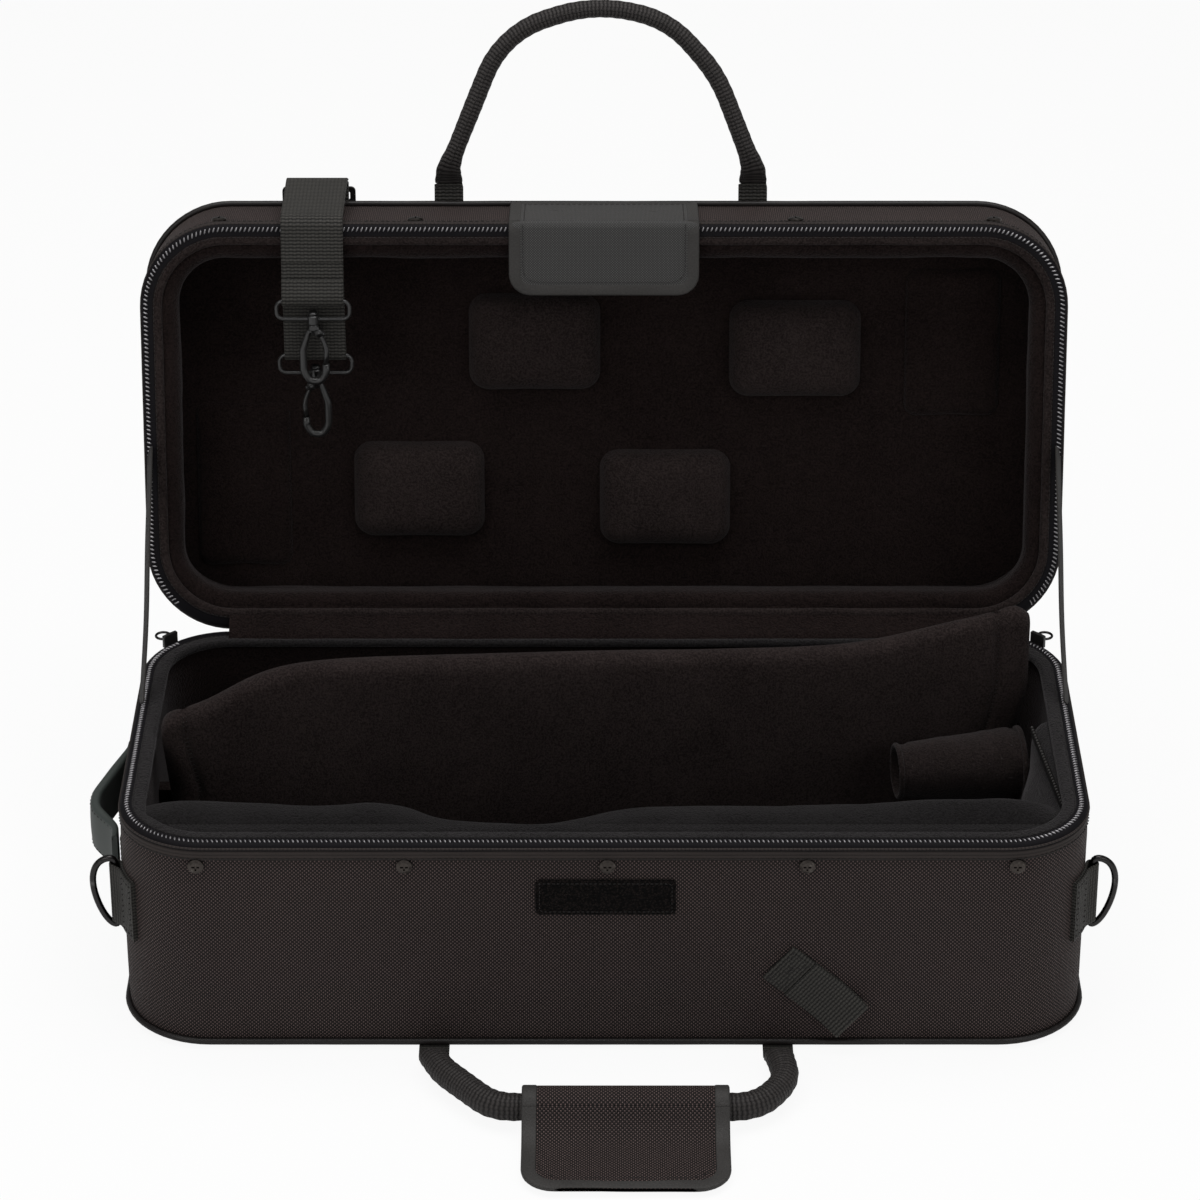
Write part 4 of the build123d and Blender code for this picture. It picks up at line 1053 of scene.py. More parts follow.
# ---------------------------------------------------------------- the two halves
@dataclass
class HalfShell:
    """Skin, rim, zip and linings of one half of the case."""

    half: Half
    height: float
    screws: Sequence[float]
    tape: tuple[float, float] = (4.8, 11.4)
    piping_radius: float = 2.0
    cover_puff: float = 0.7
    screw_drop: float = 15.0
    zip_end: float = 50.0

    def dress(self) -> None:
        """Builds every piece of this half's shell."""
        self.cover()
        self.panel()
        self.piping()
        self.rim()
        self.zip()
        for kept, finish in ((f"{self.half.value}_shell", PLYWOOD), (f"{self.half.value}_screws", SCREW)):
            repaint(kept, finish)

    def name(self, part: str) -> str:
        """Full name of a part of this half."""
        return f"{self.half.value}_{part}"

    def cover(self) -> None:
        """Side cover: nylon pulled over the tray, puffed between its seams and dimpled at the screws."""
        low, high = self.tape[1] - 1.0, self.height - SIZES.edge_round + 0.5
        rows = 34 if self.half is Half.BASE else 18
        t = np.linspace(0, 1, rows)
        h = low + (high - low) * t
        swell = np.minimum(1.0, np.minimum(t, 1 - t) * (high - low) / 9.0)
        outer = np.stack([0.35 - self.cover_puff * swell**0.7, h], axis=1)
        inner = np.array([[SIZES.skin, high], [SIZES.skin, low]])
        section = np.vstack([outer, inner])
        points = PLAN.ring(section[:, 0], section[:, 1])
        shift = wobble(points[:, :rows], 0.34, 62.0, 3.1 if self.half is Half.BASE else 8.4)
        shift += wobble(points[:, :rows], 0.14, 17.0, 5.7)
        shift *= np.minimum(1.0, swell + 0.25)
        for x in self.screws:
            away = np.hypot(points[:, :rows, 0] - x, points[:, :rows, 2] - self.screw_drop)
            dimple = 0.9 * np.exp(-((away / 9.0) ** 2)) * (points[:, :rows, 1] < SIZES.front_y + 4)
            shift -= dimple
        points[:, :rows, :2] += PLAN.out[:, None] * shift[..., None]
        made = Mesher()
        made.grid(points, PLAN.run, arc_lengths(np.vstack([section, section[:1]])), close_i=True, close_j=True)
        piece = made.piece(self.name("side_cloth"), NYLON, self.half.seat)
        settle(piece, self.half.value, "nylon", self.name("side_cover"))

    def panel(self) -> None:
        """Outer panel with its rolled edge; the lid's is a little puffed."""
        puff = 0.0 if self.half is Half.BASE else 2.2
        edge = SIZES.edge_round
        turn = np.radians(np.linspace(0, 90, 9))
        rolled = np.stack([edge - edge * np.cos(turn), self.height - edge + edge * np.sin(turn)], axis=1)
        flat_inset = np.array([10.0, 15.0, 21.0, 28.0, 36.0, 44.0, 51.0])
        rise = puff * np.clip((flat_inset - edge) / 42.0, 0, 1) ** 0.6
        flat = np.stack([flat_inset, self.height + rise], axis=1)
        outer = np.vstack([rolled, flat])[::-1]
        inner = np.array([[SIZES.skin, self.height - edge], [edge + 0.5, self.height - SIZES.skin],
                          [51.0, self.height - SIZES.skin]])
        section = np.vstack([outer, inner])
        points = PLAN.ring(section[:, 0], section[:, 1])
        made = Mesher()
        count, rows = points.shape[:2]
        made.grid(points, PLAN.run, arc_lengths(section), close_i=True)
        made.cap([i * rows for i in range(count)])
        made.cap([i * rows + rows - 1 for i in range(count)])
        node = "base_bottom_panel" if self.half is Half.BASE else "lid_outer_panel"
        piece = made.piece(self.name("panel_cloth"), NYLON, self.half.seat)
        planar_uv(piece, np.vstack(made.points))
        settle(piece, self.half.value, "nylon", node)

    def piping(self) -> None:
        """Corded piping round the seam, with its thin flange."""
        reach = SIZES.edge_round + self.piping_radius - 0.8
        angle = math.radians(12.0)
        inset = SIZES.edge_round - reach * math.cos(angle)
        level = self.height - SIZES.edge_round + reach * math.sin(angle)
        turn = np.radians(np.arange(0, 360, 30.0))
        section = np.stack([inset + self.piping_radius * np.cos(turn),
                            level + self.piping_radius * np.sin(turn)], axis=1)
        made = hoop(section, cloth=0.12, size=26.0, seed=2.0)
        piece = made.piece(self.name("piping_cord"), PIPING, self.half.seat)
        settle(piece, self.half.value, "piping", self.name("piping"))

    def rim(self) -> None:
        """Knitted tape, its seam and the padded binding inside the zip."""
        low, high = self.tape
        tape = strip_profile(-0.55, 1.1, low, high, 0.8, 6)
        made = hoop(tape, cloth=0.22, size=34.0, seed=6.0)
        piece = made.piece(self.name("tape_knit"), TAPE, self.half.seat, swap=True)
        settle(piece, self.half.value, "zip_tape", self.name("rim_tape"))
        edge = PLAN.ring(-0.72, high - 1.2)[:, 0]
        seam = STITCH.along(self.name("tape_stitches"), [np.vstack([edge, edge[:1]])], THREAD, self.half.seat)
        settle(seam, self.half.value, "zip_tape")
        reach = 15.4 if self.half is Half.BASE else SIZES.lining_out + 0.6
        band = strip_profile(6.3, reach, 0.35, 5.4, 2.3, 4, 5)
        made = hoop(band, cloth=0.25, size=30.0, seed=1.0)
        # The base's binding takes the grey copy of the plush painted lighter, the lid's the copy painted lighter
        # still: painted light for how the light falls on each.
        finish = PLUSH_PAINTED_LIT_GREY if self.half is Half.BASE else PLUSH_PAINTED_LIGHTER
        piece = made.piece(self.name("rim_binding"), finish, self.half.seat)
        settle(piece, self.half.value, "plush", self.name("rim_band"), fill=0.4)
        inner = PLAN.ring(7.6, 0.3)[:, 0]
        seam = FINE_STITCH.along(self.name("binding_stitches"), [np.vstack([inner, inner[:1]])], THREAD,
                                 self.half.seat)
        settle(seam, self.half.value, "plush")

    def zip(self) -> None:
        """Zip tape folded over the rim with its cord, and the teeth, open at the hinge side."""
        fold = ((-0.3, 5.6), (-0.3, 3.3), (0.2, 1.8), (1.3, 0.9), (3.0, 0.6), (6.9, 0.7), (6.9, 1.7), (3.2, 1.7),
                (1.7, 2.2), (1.0, 3.6), (1.0, 5.6))
        piece = hoop(fold, cloth=0.1, size=30.0, seed=4.0).piece(self.name("zip_fold"), ZIP_TAPE, self.half.seat)
        settle(piece, self.half.value, "zip_tape")
        turn = np.radians(np.arange(0, 360, 45.0))
        cord = np.stack([-0.35 + 0.7 * np.cos(turn), 3.5 + 0.7 * np.sin(turn)], axis=1)
        piece = hoop(cord, cloth=0.1, size=26.0, seed=9.0).piece(self.name("zip_cord"), TAPE, self.half.seat)
        settle(piece, self.half.value, "zip_tape")
        angles = np.degrees(np.arctan2(PLAN.out[:, 1], PLAN.out[:, 0])) % 360
        picked = np.flatnonzero((angles >= 180 - self.zip_end) | (angles <= self.zip_end))
        line = PLAN.ring(4.0 if self.half is Half.BASE else 2.6, 0.8)[picked, 0]
        teeth = TOOTH.along(self.name("zip_teeth"), [line], TEETH, self.half.seat)
        settle(teeth, self.half.value, "zip_teeth", self.name("zip_chain"))


def repaint(node: str, finish: Finish) -> None:
    """Gives a CAD node that stays in view its finish."""
    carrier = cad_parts[node]
    carrier.data.materials.clear()
    carrier.data.materials.append(finish.material())


def planar_uv(piece: bpy.types.Object, local: Array) -> None:
    """Lays a piece's texture flat on its own plan, so a weave runs straight across it."""
    mesh = piece.data
    if len(mesh.vertices) != len(local):
        flat = np.empty(len(mesh.vertices) * 3)
        mesh.vertices.foreach_get("co", flat)
        flat = flat.reshape(-1, 3) / MM
        if abs(flat[:, 2]).max() > 150:
            run = flat[:, 1:] - np.array([SIZES.half_y, SIZES.base_height])
            turn = math.radians(SIZES.open_angle)
            second = run[:, 0] * math.cos(turn) - run[:, 1] * math.sin(turn)
        else:
            second = flat[:, 1]
        places = np.stack([flat[:, 0], second], axis=1)
    else:
        places = local[:, :2]
    index = np.empty(len(mesh.loops), np.int32)
    mesh.loops.foreach_get("vertex_index", index)
    mesh.uv_layers[0].data.foreach_set("uv", (places[index] * MM).astype(np.float32).ravel())


def slab_piece(name: str, finish: Finish, inset: float, top: float, bottom: float, seat: Callable[[Array], Array],
               puff: float = 1.0, edge: float = 2.5, seed: float = 0.0) -> bpy.types.Object:
    """A padded sheet that fills the plan at an inset, crowned on its inner face.

    Args:
        name: the piece's name.
        finish: its finish.
        inset: how far its edge is drawn in.
        top: depth of the face that shows.
        bottom: depth of its back.
        seat: places it.
        puff: how far the face swells.
        edge: rounding of its edge.
        seed: pattern of its swells.

    Returns:
        The piece.
    """
    sign = 1.0 if bottom > top else -1.0
    turn = np.radians(np.linspace(0, 90, 5))
    corner = np.stack([inset + edge - edge * np.sin(turn), top + sign * (edge - edge * np.cos(turn))], axis=1)
    face_inset = np.array([50.0, 44.0, 38.0, 32.0, 27.0, 22.0, 18.0])
    face_inset = face_inset[face_inset > inset + edge + 1]
    face = np.stack([face_inset, np.full(len(face_inset), top)], axis=1)
    section = np.vstack([face, corner, [[inset, bottom], [50.0, bottom]]])
    points = PLAN.ring(section[:, 0], section[:, 1])
    rows = len(face)
    shift = wobble(points[:, :rows], 0.5, 55.0, seed) + puff
    points[:, :rows, 2] -= sign * shift
    made = Mesher()
    count, width = points.shape[:2]
    made.grid(points, PLAN.run, arc_lengths(section), close_i=True)
    made.cap([i * width for i in range(count)])
    made.cap([i * width + width - 1 for i in range(count)])
    return made.piece(name, finish, seat)


def pillow(centre: Sequence[float], size: Sequence[float], corner: float, finish: Finish, name: str,
           seat: Callable[[Array], Array], facing: float = -1.0, power: float = 5.0,
           draw_in: float = 1.2, seed: float = 0.0, into: Optional[Mesher] = None) -> Mesher:
    """Adds a sewn pad with a crowned face, sides drawn in between its corners and a flat back.

    Args:
        centre: middle of its back in the local frame.
        size: width, length and height.
        corner: plan radius.
        finish: its finish; not used.
        name: its name; not used.
        seat: its seat; not used.
        facing: direction of its face along the third axis.
        power: how full the crown is.
        draw_in: how far its sides pull in.
        seed: pattern of its creases.
        into: a mesher to add to.

    Returns:
        The mesher that holds the pad.
    """
    width, length, height = size
    ring = rounded_section(width, length, corner, 8, 10)
    direction = np.arctan2(ring[:, 1] / length, ring[:, 0] / width)
    pull = 1.0 - draw_in / (width / 2) * np.abs(np.cos(2 * direction)) ** 3
    ring = ring * pull[:, None]
    shares = np.array([0.0, 0.12, 0.25, 0.38, 0.5, 0.62, 0.72, 0.8, 0.86, 0.91, 0.95, 0.98, 1.0])[1:]
    layers = []
    for r in shares:
        lift = height * (1.0 - r**power) ** 0.42
        layers.append(np.column_stack([ring * (0.985 * r if r < 1 else 1.0), np.full(len(ring), lift)]))
    layers.append(np.column_stack([ring * 0.985, np.zeros(len(ring))]))
    points = np.array(layers)
    crease = wobble(points + np.array([centre[0], centre[1], 0.0]), 0.55, 24.0, seed)
    crease += wobble(points + np.array([centre[0], centre[1], 0.0]), 0.25, 9.0, seed + 4)
    points[:-1, :, 2] = np.maximum(points[:-1, :, 2] + crease[:-1] * (points[:-1, :, 2] > 1.0), 0.0)
    points[..., 2] = centre[2] + facing * points[..., 2]
    points[..., 0] += centre[0]
    points[..., 1] += centre[1]
    made = into if into is not None else Mesher()
    count = len(ring)
    first = made.grid(points, np.arange(len(points)) * 3.0, arc_lengths(np.vstack([ring, ring[:1]])), close_j=True)
    made.cap([first + j for j in range(count)])
    made.cap([first + (len(points) - 1) * count + j for j in range(count)])
    return made


@dataclass
class BasePadding:
    """Linings, divider, cushions, pouch and supports in the base."""

    divider_left: tuple[float, float] = (-266.0, -8.0)
    divider_right: tuple[float, float] = (266.0, 62.0)
    thickness: float = 16.0
    rim_low: float = 137.5
    shoulder: float = 262.3
    crest: tuple = ((-269.0, 141.0), (-268.0, 148.0), (-264.0, 153.5), (-253.0, 156.5), (-245.0, 158.8),
                    (-235.0, 162.9), (-217.0, 172.7), (-198.0, 180.3), (-172.0, 182.8), (-135.0, 182.7),
                    (-61.0, 179.3), (-11.0, 177.9), (58.0, 173.6), (145.0, 170.0), (178.0, 174.2), (211.0, 180.9),
                    (231.0, 184.6), (247.5, 188.4), (257.0, 191.2), (264.0, 184.0))
    pad_depth: float = 38.0
    pouch_radius: float = 22.0
    pouch_bore: float = 17.0
    pouch_length: float = 78.0
    pouch_x: float = 218.0
    pouch_z: float = 98.0

    @property
    def slant(self) -> float:
        """Angle of the divider from the X axis, in radians."""
        (x0, y0), (x1, y1) = self.divider_left, self.divider_right
        return math.atan2(y1 - y0, x1 - x0)

    def front_of(self, x: float) -> float:
        """Y of the divider's front face at an X."""
        (x0, y0), (x1, y1) = self.divider_left, self.divider_right
        return y0 + (x - x0) * (y1 - y0) / (x1 - x0)

    def dress(self) -> None:
        """Builds every soft piece of the base."""
        self.walls()
        self.divider()
        self.front_pad()
        self.side_pad()
        self.pouch()
        self.blocks()

    def walls(self) -> None:
        """Wall lining and floor pad."""
        low = SIZES.base_height - SIZES.lining_in
        t = np.linspace(0, 1, 22)
        h = 4.2 + (low - 4.2) * t
        swell = 1.1 * np.sin(np.pi * np.clip(t * 1.15, 0, 1)) ** 0.6
        inner = np.stack([SIZES.lining_out - 0.6 + swell, h], axis=1)
        section = np.vstack([inner, [[SIZES.lining_in, low], [SIZES.lining_in, 3.4], [SIZES.lining_out - 3, 3.3]]])
        made = hoop(section, cloth=0.5, size=48.0, seed=11.0)
        piece = made.piece("base_wall_plush", PLUSH, Half.BASE.seat)
        settle(piece, "base", "plush", "base_wall_lining", fill=0.5)
        floor = slab_piece("base_floor_plush", PLUSH, SIZES.lining_out + 0.4, SIZES.base_height - SIZES.base_floor,
                           SIZES.base_height - SIZES.lining_in, Half.BASE.seat, puff=0.4, seed=5.0)
        settle(floor, "base", "plush", "base_floor_pad", fill=0.5)

    def place_on_divider(self, local: Array) -> Array:
        """Turns (along, across, z) of the divider into the case's frame."""
        c, s = math.cos(self.slant), math.sin(self.slant)
        middle = (self.divider_left[1] + self.divider_right[1]) / 2
        out = local.copy()
        out[..., 0] = local[..., 0] * c - local[..., 1] * s
        out[..., 1] = middle + local[..., 0] * s + local[..., 1] * c
        return out

    def divider(self) -> None:
        """Padded divider: crowned faces, a full rounded top, end seams and soft creases."""
        crest = smooth_line([(x, z, 0.0) for x, z in self.crest], 240)
        columns = np.concatenate([np.linspace(-268.4, -226, 26), np.linspace(-222, 222, 96),
                                  np.linspace(226, 263.4, 22)])
        tops = np.interp(columns, crest[:, 0], crest[:, 1])
        low = SIZES.base_floor + 0.3
        half = self.thickness / 2
        rows = 34
        points = np.zeros((len(columns), 2 * rows + 9, 3))
        for i, (a, top) in enumerate(zip(columns, tops)):
            end = min(1.0, ((263.8 if a > 0 else 268.8) - abs(a)) / 9.0)
            thick = half * (0.42 + 0.58 * math.sqrt(max(0.0, 1 - (1 - end) ** 2)))
            cap = min(9.0, thick + 1.0)
            side = np.linspace(0, 1, rows)
            heights = low + (top - cap - low) * side
            swell = 1.5 * np.sin(np.pi * side) ** 0.5 * end
            front = np.stack([half - thick - swell, heights], axis=1)
            turn = np.radians(np.linspace(180, 0, 11))[1:-1]
            over = np.stack([half + thick * np.cos(turn), top - cap + cap * np.sin(turn)], axis=1)
            back = np.stack([half + thick + swell * 0.6, heights], axis=1)[::-1]
            section = np.vstack([front, over, back])
            points[i, :, 0] = a
            points[i, :, 1:] = section
        u = columns - columns[0]
        shift = wobble(points, 0.75, 70.0, 2.0) + wobble(points, 0.3, 24.0, 7.0)
        near_end = np.clip((np.abs(points[..., 0]) - 205) / 50.0, 0, 1)
        shift += wobble(points * np.array([1.0, 1.0, 0.35]), 1.5, 20.0, 4.0) * near_end
        for place in (-254.0, 243.0):
            shift -= 2.8 * np.exp(-(((points[..., 0] - place) / 2.2) ** 2))
        across = np.sign(points[..., 1] - half)
        points[..., 1] += across * shift
        points[..., 0] *= 1 - 0.028 * np.clip((138.0 - points[..., 2]) / 34.0, 0, 1)
        placed = self.place_on_divider(points)
        placed = clamp_plan(placed, SIZES.lining_out + 0.35)
        made = Mesher()
        n, m = points.shape[:2]
        section = np.column_stack([points[n // 2, :, 1], points[n // 2, :, 2]])
        first = made.grid(placed, u, arc_lengths(np.vstack([section, section[:1]])), close_j=True)
        made.cap([first + j for j in range(m)])
        made.cap([first + (n - 1) * m + j for j in range(m)])
        piece = made.piece("divider_plush", PLUSH_PAINTED_LIGHTER)
        settle(piece, "base", "plush", "divider", fill=0.6)
        rows_of_thread = []
        for place in (-255.6, -252.4, 244.6):
            i = int(np.argmin(np.abs(columns - place)))
            line = placed[i, 4:rows + 2].copy()
            line[:, 1] -= 0.15
            rows_of_thread.append(line)
        seam = FINE_STITCH.along("divider_stitches", rows_of_thread, THREAD)
        settle(seam, "base", "plush")

    def front_pad(self) -> None:
        """Wavy cushion along the front wall."""
        crest = smooth_line([(-273.0, 138.5, 0), (-262.0, 142.0, 0), (-236.0, 143.2, 0), (-208.0, 142.0, 0),
                             (-180.0, 140.4, 0), (-155.0, 141.6, 0), (-140.0, 143.2, 0),
                             (-118.0, 141.0, 0), (-98.0, 131.0, 0), (-62.0, 127.5, 0), (-30.0, 128.0, 0),
                             (-6.0, 134.0, 0), (22.0, 139.5, 0), (80.0, 140.0, 0), (155.0, 141.0, 0),
                             (195.0, 145.0, 0), (240.0, 145.5, 0), (262.0, 141.0, 0), (273.0, 134.0, 0)], 240)
        columns = np.linspace(-272.2, 272.2, 120)
        tops = np.interp(columns, crest[:, 0], crest[:, 1])
        low = SIZES.base_floor + 0.3
        front = SIZES.front_y + SIZES.lining_out + 0.5
        back = front + self.pad_depth - 0.6
        ledge, seam_y = 139.7, front + 12.0
        rows = 20
        points = []
        for a, top in zip(columns, tops):
            side = np.linspace(0, 1, rows)
            heights = low + (top - 9.0 - low) * side
            swell = 2.6 * np.sin(np.pi * side * 0.92) ** 0.6
            rear = np.stack([back + swell, heights], axis=1)
            turn = np.radians(np.linspace(0, 90, 7))[1:]
            shoulder = np.stack([back - 9 + 9.6 * np.cos(turn), top - 9 + 9 * np.sin(turn)], axis=1)
            share = np.linspace(0, 1, 8)[1:]
            fall = min(top, ledge) - 0.6
            bow = 1.2 * np.sin(math.pi * share)
            top_face = np.stack([back - 9 + (seam_y + 0.8 - back + 9) * share, top + (fall - top) * share + bow], axis=1)
            flat = np.array([[seam_y, min(fall + 0.2, ledge - 1.2)], [seam_y - 1.2, ledge], [front + 8, ledge + 0.2],
                             [front + 5, ledge]])
            turn = np.radians(np.linspace(90, 180, 4))[1:]
            fore = np.stack([front + 4 + 4 * np.cos(turn), ledge - 4 + 4 * np.sin(turn)], axis=1)
            down = np.array([[front, low + (top - low) * 0.5], [front, low]])
            section = np.vstack([rear, shoulder, top_face, flat, fore, down])
            points.append(np.column_stack([np.full(len(section), a), section]))
        points = np.array(points)
        soft = wobble(points, 1.0, 46.0, 9.0) + wobble(points, 0.4, 17.0, 3.0)
        facing_back = points[..., 1] > seam_y + 2
        points[..., 2] += np.where((points[..., 2] > 100) & facing_back, soft * 0.8, 0.0)
        points[..., 1] += np.where(facing_back, soft * 0.7, 0.0)
        placed = clamp_plan(points, SIZES.lining_out + 0.4)
        made = Mesher()
        n, m = points.shape[:2]
        line = points[n // 2, :, 1:]
        first = made.grid(placed, columns - columns[0], arc_lengths(np.vstack([line, line[:1]])), close_j=True)
        made.cap([first + j for j in range(m)])
        made.cap([first + (n - 1) * m + j for j in range(m)])
        piece = made.piece("front_cushion", PLUSH_PAINTED_DIMMER)
        settle(piece, "base", "plush", "front_pad", fill=0.6)
        edge = placed[3:-3, rows + 14]
        seam = FINE_STITCH.along("front_cushion_stitches", [edge + np.array([0, -0.6, 0.25])], THREAD)
        settle(seam, "base", "plush")

    def side_pad(self) -> None:
        """Pad on the right wall with its toothed strip."""
        right = SIZES.half_x - SIZES.lining_out - 0.3
        made = pillow((-31.0, 75.8, 0.0), (114.0, 122.8, 9.6), 6.0, PLUSH, "", stay, 1.0, 7.0, 0.8, 6.0)

        def stand(points: Array) -> Array:
            """Turns the pad's face towards the left and stands it on the wall."""
            out = np.empty_like(points)
            low = np.clip((131.0 - points[:, 1]) / 46.0, 0.0, 1.0)
            ahead = np.clip((8.0 - points[:, 0]) / 32.0, 0.0, 1.0)
            thick = 13.9 - (8.0 - points[:, 0]) * 0.128 + 18.0 * low**0.7 * ahead
            out[:, 0] = right - points[:, 2] * thick / 9.6
            out[:, 1] = points[:, 0]
            out[:, 2] = points[:, 1]
            return out

        piece = made.piece("side_cushion", PLUSH_PAINTED_LIT_GREY, stand)
        settle(piece, "base", "plush", "side_pad", fill=0.5)
        strip = Mesher()
        path = np.array([[right - 12.4 + (8.0 - y) * 0.128, y, 134.4] for y in np.linspace(-84, 10, 24)])
        path[:, 2] += np.linspace(-2.2, 0.6, 24)
        n = len(path)
        strip.tube(path, rounded_section(2.0, 6.0, 0.8, 2), np.tile([1.0, 0, 0], (n, 1)),
                   np.tile([0, 0, 1.0], (n, 1)))
        settle(strip.piece("hook_strip", LOOPS), "base", "plush")
        row = BeadRow(Bead.TOOTH, 3.0, 1.5, 2.2, 2.0)
        teeth = row.along("hook_strip_teeth", [path + np.array([-0.8, 0, 3.2])], BINDING)
        settle(teeth, "base", "plush")

    def pouch(self) -> None:
        """Fleece tube for the mouthpiece with piped ends."""
        off = (self.pouch_radius + 1.8 + 0.3) / math.cos(self.slant)
        y = self.front_of(self.pouch_x) - off
        half = self.pouch_length / 2
        stations = np.linspace(-half, half, 30)
        around = np.radians(np.arange(0, 360, 9.0))
        outer = []
        for a in stations:
            pinch = 1.4 * math.exp(-(((abs(a) - half + 4.5) / 2.2) ** 2))
            share = (a + half) / (2 * half)
            radius = self.pouch_radius - 5.6 * (1 - share) ** 1.2 - pinch + 0.9 * math.sin(math.pi * share)
            outer.append(np.column_stack([np.full(len(around), a), radius * np.cos(around),
                                          radius * np.sin(around)]))
        points = np.array(outer)
        rough = wobble(points, 1.3, 19.0, 12.0) + wobble(points, 0.6, 8.0, 2.0)
        away = points[..., 1:] / self.pouch_radius
        points[..., 1:] += away * rough[..., None]
        bore = []
        for a, radius in ((half - 6.0, 1.0), (half - 6.0, self.pouch_bore), (0.0, self.pouch_bore - 2.6),
                          (-half + 3, self.pouch_bore - 3.2), (-half, self.pouch_bore - 2.4)):
            bore.append(np.column_stack([np.full(len(around), a), radius * np.cos(around),
                                         radius * np.sin(around)]))
        tip = np.column_stack([np.full(len(around), half + 1.2), 12.0 * np.cos(around), 12.0 * np.sin(around)])
        every = np.concatenate([np.array(bore), points, tip[None]])
        made = Mesher()
        count = len(around)
        first = made.grid(every, arc_lengths(every[:, 0]), arc_lengths(np.vstack([every[20], every[20][:1]])),
                          close_j=True)
        made.cap([first + j for j in range(count)])
        made.cap([first + (len(every) - 1) * count + j for j in range(count)])

        def lay(local: Array) -> Array:
            """Lays the tube along the divider."""
            c, s = math.cos(self.slant), math.sin(self.slant)
            out = np.empty_like(local)
            out[..., 0] = self.pouch_x + local[..., 0] * c - local[..., 1] * s
            out[..., 1] = y + local[..., 0] * s + local[..., 1] * c
            out[..., 2] = self.pouch_z + local[..., 2]
            return out

        settle(made.piece("pouch_fleece_tube", FLEECE, lay, 60.0), "base", "plush", "mouthpiece_pouch", fill=0.7)
        rims = Mesher()
        for a, radius in ((-half + 0.6, self.pouch_radius - 6.0), (half - 1.6, self.pouch_radius - 0.2)):
            ring = np.column_stack([np.full(len(around) + 1, a), radius * np.cos(np.append(around, 0)),
                                    radius * np.sin(np.append(around, 0))])
            outward = np.column_stack([np.zeros(len(ring)), ring[:, 1:] / radius])
            rims.tube(ring, rounded_section(3.4, 3.0, 1.4, 3), np.tile([1.0, 0, 0], (len(ring), 1)), outward)
        settle(rims.piece("pouch_piping", FLEECE, lay, 60.0), "base", "plush")

    def blocks(self) -> None:
        """Foam supports in the well: bell cradle, valve block and slide block."""
        (x0, y0), (x1, y1) = self.divider_left, self.divider_right
        lean = self.thickness * math.hypot(1, (y1 - y0) / (x1 - x0))
        back = SIZES.half_y - SIZES.lining_out - 0.5
        low = SIZES.base_floor + 0.4
        left = -SIZES.half_x + SIZES.lining_out + 0.5
        right = SIZES.half_x - SIZES.lining_out - 0.5
        spots = ((left, left + 45.6, 92.0, None), (12.2, 107.8, 52.0, 34.0), (right - 39.6, right, 70.0, 18.0))
        made = Mesher()
        for start, end, top, slot in spots:
            front = self.front_of(end) + lean + 0.6
            middle = (front + back) / 2
            if slot is None:
                radius = min(60.0, (back - front) / 2 - 10)
                floor = low + 70.0 - radius
                turn = np.radians(np.linspace(0, -180, 25))
                cut = np.column_stack([middle + radius * np.cos(turn), floor + radius + radius * np.sin(turn)])
                cut = np.vstack([[middle + radius, top], cut, [middle - radius, top]])
            else:
                radius = slot / 2
                floor = low + 12.0
                turn = np.radians(np.linspace(0, -180, 13))
                cut = np.column_stack([middle + radius * np.cos(turn), floor + radius + radius * np.sin(turn)])
                cut = np.vstack([[middle + radius, top], cut, [middle - radius, top]])
            outline = np.vstack([[[front, low], [back, low], [back, top]], cut, [[front, top]]])
            stations = np.linspace(start, end, 5)
            points = np.array([np.column_stack([np.full(len(outline), x), outline]) for x in stations])
            points = clamp_plan(points, SIZES.lining_out + 0.5)
            m = len(outline)
            first = made.grid(points, stations - start, arc_lengths(np.vstack([outline, outline[:1]])),
                              close_j=True)
            for row in (0, len(stations) - 1):
                loop = [first + row * m + j for j in range(m)]
                made.faces.append(loop)
                made.uvs += [tuple(outline[j]) for j in range(m)]
        piece = made.piece("well_supports", PLUSH, sharp=30.0)
        soften = piece.modifiers.new("soft_edge", "BEVEL")
        soften.width = 3.0 * MM
        soften.segments = 3
        soften.limit_method = "ANGLE"
        soften.angle_limit = math.radians(40)
        settle(piece, "base", "plush", "well_blocks", fill=0.8)


